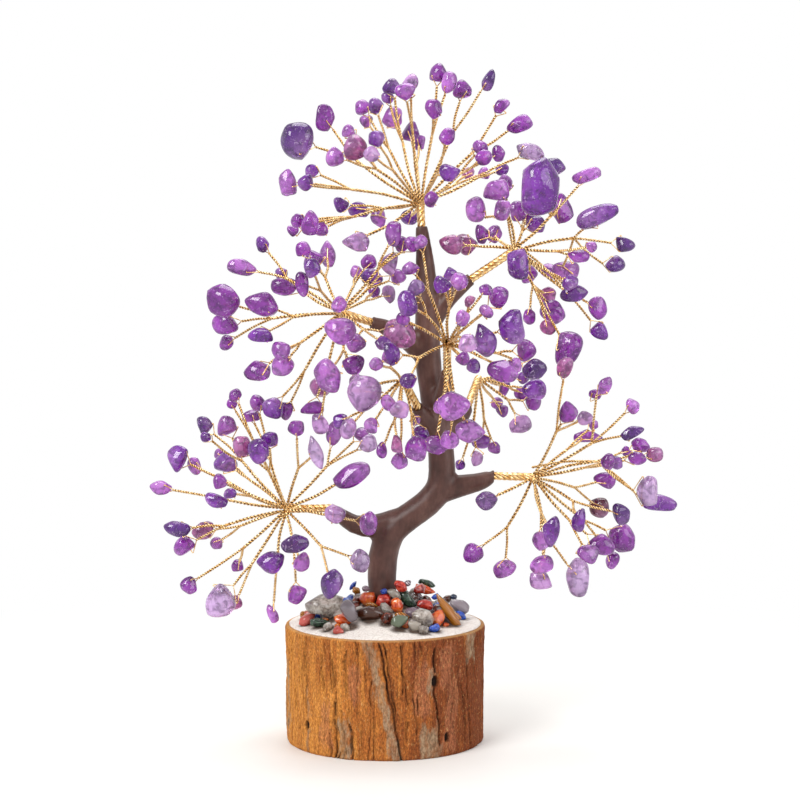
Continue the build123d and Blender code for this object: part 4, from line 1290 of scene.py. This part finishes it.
@dataclass
class StoneBed:
    """The white bed on the log and the mixed stones pressed into it."""

    radius: float = 38.5 * MM
    hole_radius: float = 5.6 * MM
    hole_x: float = -1.0 * MM
    top: float = 47 * MM
    # radius and height above the log, in mm
    profile: tuple[tuple[float, float], ...] = ((0, 9.8), (10, 9.0), (17, 6.6), (24, 3.6), (31, 1.8), (38.5, 0.6))
    # how far past a stone's edge the bed's painted shade reaches, and how its edge wanders
    shade_reach: float = 2.0 * MM
    shade_wander: float = 0.9 * MM
    shade_wave: float = 2.5 * MM
    lump_width: float = 4.5 * MM
    lump_mm: float = 0.45
    sink_mm: float = 0.35
    least_mm: float = 0.25
    rim_calm: float = 0.3
    calm_rate: float = 6.0
    under: float = 0.02 * MM
    leaning: float = 0.28
    least_lean: float = 0.6
    darkest: float = 0.3
    keep: float = 1.2
    stone_crease: float = 0.85
    stone_seed: int = 100
    around: int = 180
    rings: int = 46

    def stone_spots(self) -> np.ndarray:
        """Rows of place and half width, seen from above, of all stones in metres."""
        rows = []
        for kind in StoneKind:
            for solid in solids_of(f"bed_{kind.value}"):
                low, high = solid.min(0), solid.max(0)
                rows.append((*(low + high)[:2] / 2, float(np.mean(high - low)) / 2))
        return np.array(rows)

    def cover(self, x: float, y: float, spots: np.ndarray) -> float:
        """How far a spot of the bed lies under stones, which sets its painted shade: nought where it is bare.

        Args:
            x: its place across, in metres.
            y: its place fore and aft.
            spots: the stones seen from above.

        Returns:
            A share from nought to one.
        """
        gap = float((np.hypot(spots[:, 0] - x, spots[:, 1] - y) - spots[:, 2]).min())
        gap += self.shade_wander * noise.noise(Vector((x, y, 0)) / self.shade_wave)
        return min(1.0, max(0.0, 1 - gap / self.shade_reach))

    def build_bed(self) -> None:
        """Build the poured bed as a lumpy cap round the trunk's foot."""
        points = []
        covered = []
        spots = self.stone_spots()
        for ring in range(self.rings + 1):
            share = ring / self.rings
            for step in range(self.around):
                turn = 2 * math.pi * step / self.around
                radius = self.hole_radius + share * (self.radius - self.hole_radius)
                x = radius * math.sin(turn) + self.hole_x * (1 - share)
                y = -radius * math.cos(turn)
                height = float(np.interp(math.hypot(x, y) / MM, *zip(*self.profile)))
                lump = noise.fractal(Vector((x, y, 0)) / self.lump_width, 1.0, 2.0, 4)
                height += self.lump_mm * lump * min(1, self.calm_rate * (1 - share) + self.rim_calm) - self.sink_mm
                points.append((x, y, self.top + max(self.least_mm, height) * MM))
                covered.append(self.cover(x, y, spots))
        for radius, middle in ((self.radius, 0.0), (self.hole_radius, self.hole_x)):
            for step in range(self.around):
                turn = 2 * math.pi * step / self.around
                points.append((radius * math.sin(turn) + middle, -radius * math.cos(turn), self.top + self.under))
        faces = ring_faces(self.rings + 3, self.around)
        piece = mesh_piece("poured_bed", np.array(points), faces, WhiteBed().material())
        work = bmesh.new()
        work.from_mesh(piece.data)
        bmesh.ops.recalc_face_normals(work, faces=work.faces)
        work.to_mesh(piece.data)
        work.free()
        paint(piece, "covered", np.array([grey(c) for c in covered] + [grey(0.0)] * (2 * self.around)))
        show(piece, "stand", ["plaster_bed"])

    def build_stones(self) -> None:
        """Round the stones of the bed and finish each kind."""
        for number, kind in enumerate(StoneKind):
            piece, owner, middles = TumbledShapes(keep=self.keep, crease_high=self.stone_crease).build(
                f"{kind.value}_stones", f"bed_{kind.value}", self.stone_seed + number)
            rng = random.Random(kind.value)
            leans = [
                (rng.uniform(self.least_lean, 1) if rng.random() < self.leaning else 0,
                 rng.uniform(0, self.darkest), 0, 1) for _ in middles
            ]
            paint(piece, "lean", np.array(leans)[owner])
            dress(piece, STONE_FINISHES[kind].material())
            show(piece, "stand", [f"bed_{kind.value}"])


@dataclass
class Studio:
    """Pale floor, soft light and the camera where the photographer stood."""

    camera_place: tuple[float, float, float] = (0.006, -0.845, 0.198)
    camera_pitch: float = 4.13
    lens: float = 95.4
    sensor: float = 36.0
    nearest: float = 0.01
    floor_colour: str = "#EDEBE7"
    floor_half: float = 6.0
    floor_fade: tuple[float, float] = (0.09, 0.36)
    light_aim: tuple[float, float, float] = (0.01, 0, 0.13)
    # name, place, size and power of each lamp
    lamps: tuple[tuple[str, tuple[float, float, float], float, float], ...] = (
        ("key", (-0.75, -0.95, 0.95), 0.7, 17.0),
        ("fill", (1.0, -0.7, 0.5), 0.9, 7.0),
        ("top", (0.1, 0.35, 1.25), 0.8, 9.0),
    )
    world_light: float = 0.5

    def build_camera(self) -> None:
        """Place the camera."""
        data = bpy.data.cameras.new("camera")
        data.lens = self.lens
        data.sensor_width = self.sensor
        data.clip_start = self.nearest
        camera = bpy.data.objects.new("camera", data)
        camera.location = self.camera_place
        camera.rotation_euler = (math.radians(90 - self.camera_pitch), 0, 0)
        bpy.context.scene.collection.objects.link(camera)
        bpy.context.scene.camera = camera

    def build_floor(self) -> None:
        """A pale matt floor that keeps the shadow and fades to white away from the object."""
        far = self.floor_half
        corners = np.array([(-far, -far, 0), (far, -far, 0), (far, far, 0), (-far, far, 0)])
        floor = mesh_piece("floor", corners, [(0, 1, 2, 3)])
        made = bpy.data.materials.new("pale_floor")
        tree = fresh_tree(made)
        matt = add_node(tree, "ShaderNodeBsdfPrincipled", {
            "Base Color": linear(self.floor_colour), "Roughness": 0.6, "Specular IOR Level": 0.2})
        white = add_node(tree, "ShaderNodeEmission", {"Color": grey(1.0), "Strength": 1.0})
        place = add_node(tree, "ShaderNodeTexCoord").outputs["Object"]
        out = compute_vector(tree, "LENGTH", place).outputs["Value"]
        both = add_node(tree, "ShaderNodeMixShader", {
            0: span(tree, out, *self.floor_fade, way="SMOOTHSTEP"), 1: matt.outputs[0], 2: white.outputs[0]})
        add_node(tree, "ShaderNodeOutputMaterial", {"Surface": both.outputs[0]})
        floor.data.materials.append(made)

    def build_light(self) -> None:
        """A large soft key from the upper left, a fill from the right and a top light."""
        for name, place, size, power in self.lamps:
            data = bpy.data.lights.new(name, "AREA")
            data.energy = power
            data.size = size
            lamp = bpy.data.objects.new(name, data)
            lamp.location = place
            lamp.rotation_euler = (Vector(self.light_aim) - Vector(place)).to_track_quat("-Z", "Y").to_euler()
            bpy.context.scene.collection.objects.link(lamp)
        world = bpy.data.worlds.new("studio")
        tree = fresh_tree(world)
        ray = add_node(tree, "ShaderNodeLightPath").outputs
        seen = compute(tree, "MAXIMUM", ray["Is Camera Ray"], ray["Is Glossy Ray"])
        seen = compute(tree, "MAXIMUM", seen, ray["Is Transmission Ray"])
        light = add_node(tree, "ShaderNodeBackground", {
            "Color": grey(1.0), "Strength": span(tree, seen, 0.0, 1.0, self.world_light)})
        add_node(tree, "ShaderNodeOutputWorld", {"Surface": light.outputs[0]})
        bpy.context.scene.world = world
        bpy.context.scene.view_settings.view_transform = "Standard"

    def build(self) -> None:
        """Set up the whole studio."""
        self.build_camera()
        self.build_floor()
        self.build_light()


def main() -> None:
    """Build every piece in order and note the sizes."""
    logging.basicConfig(level=logging.INFO, format="%(message)s")
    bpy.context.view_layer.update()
    Studio().build()
    LogSlice().build()
    bed = StoneBed()
    bed.build_bed()
    bed.build_stones()
    Trunk().build()
    wire = TwistedWire()
    gold = GoldWire().material()
    eye_gold = GoldWire("single_gold_wire", twisted=False).material()
    amethyst = TumbledAmethyst().material()
    tones = ChipTones()
    for name in SPRAY_NAMES:
        spray = Spray(name, wire, gold, eye_gold, amethyst)
        spray.build_wires()
        spray.build_chips(tones)
    bpy.context.view_layer.update()


if __name__ == "__main__":
    main()
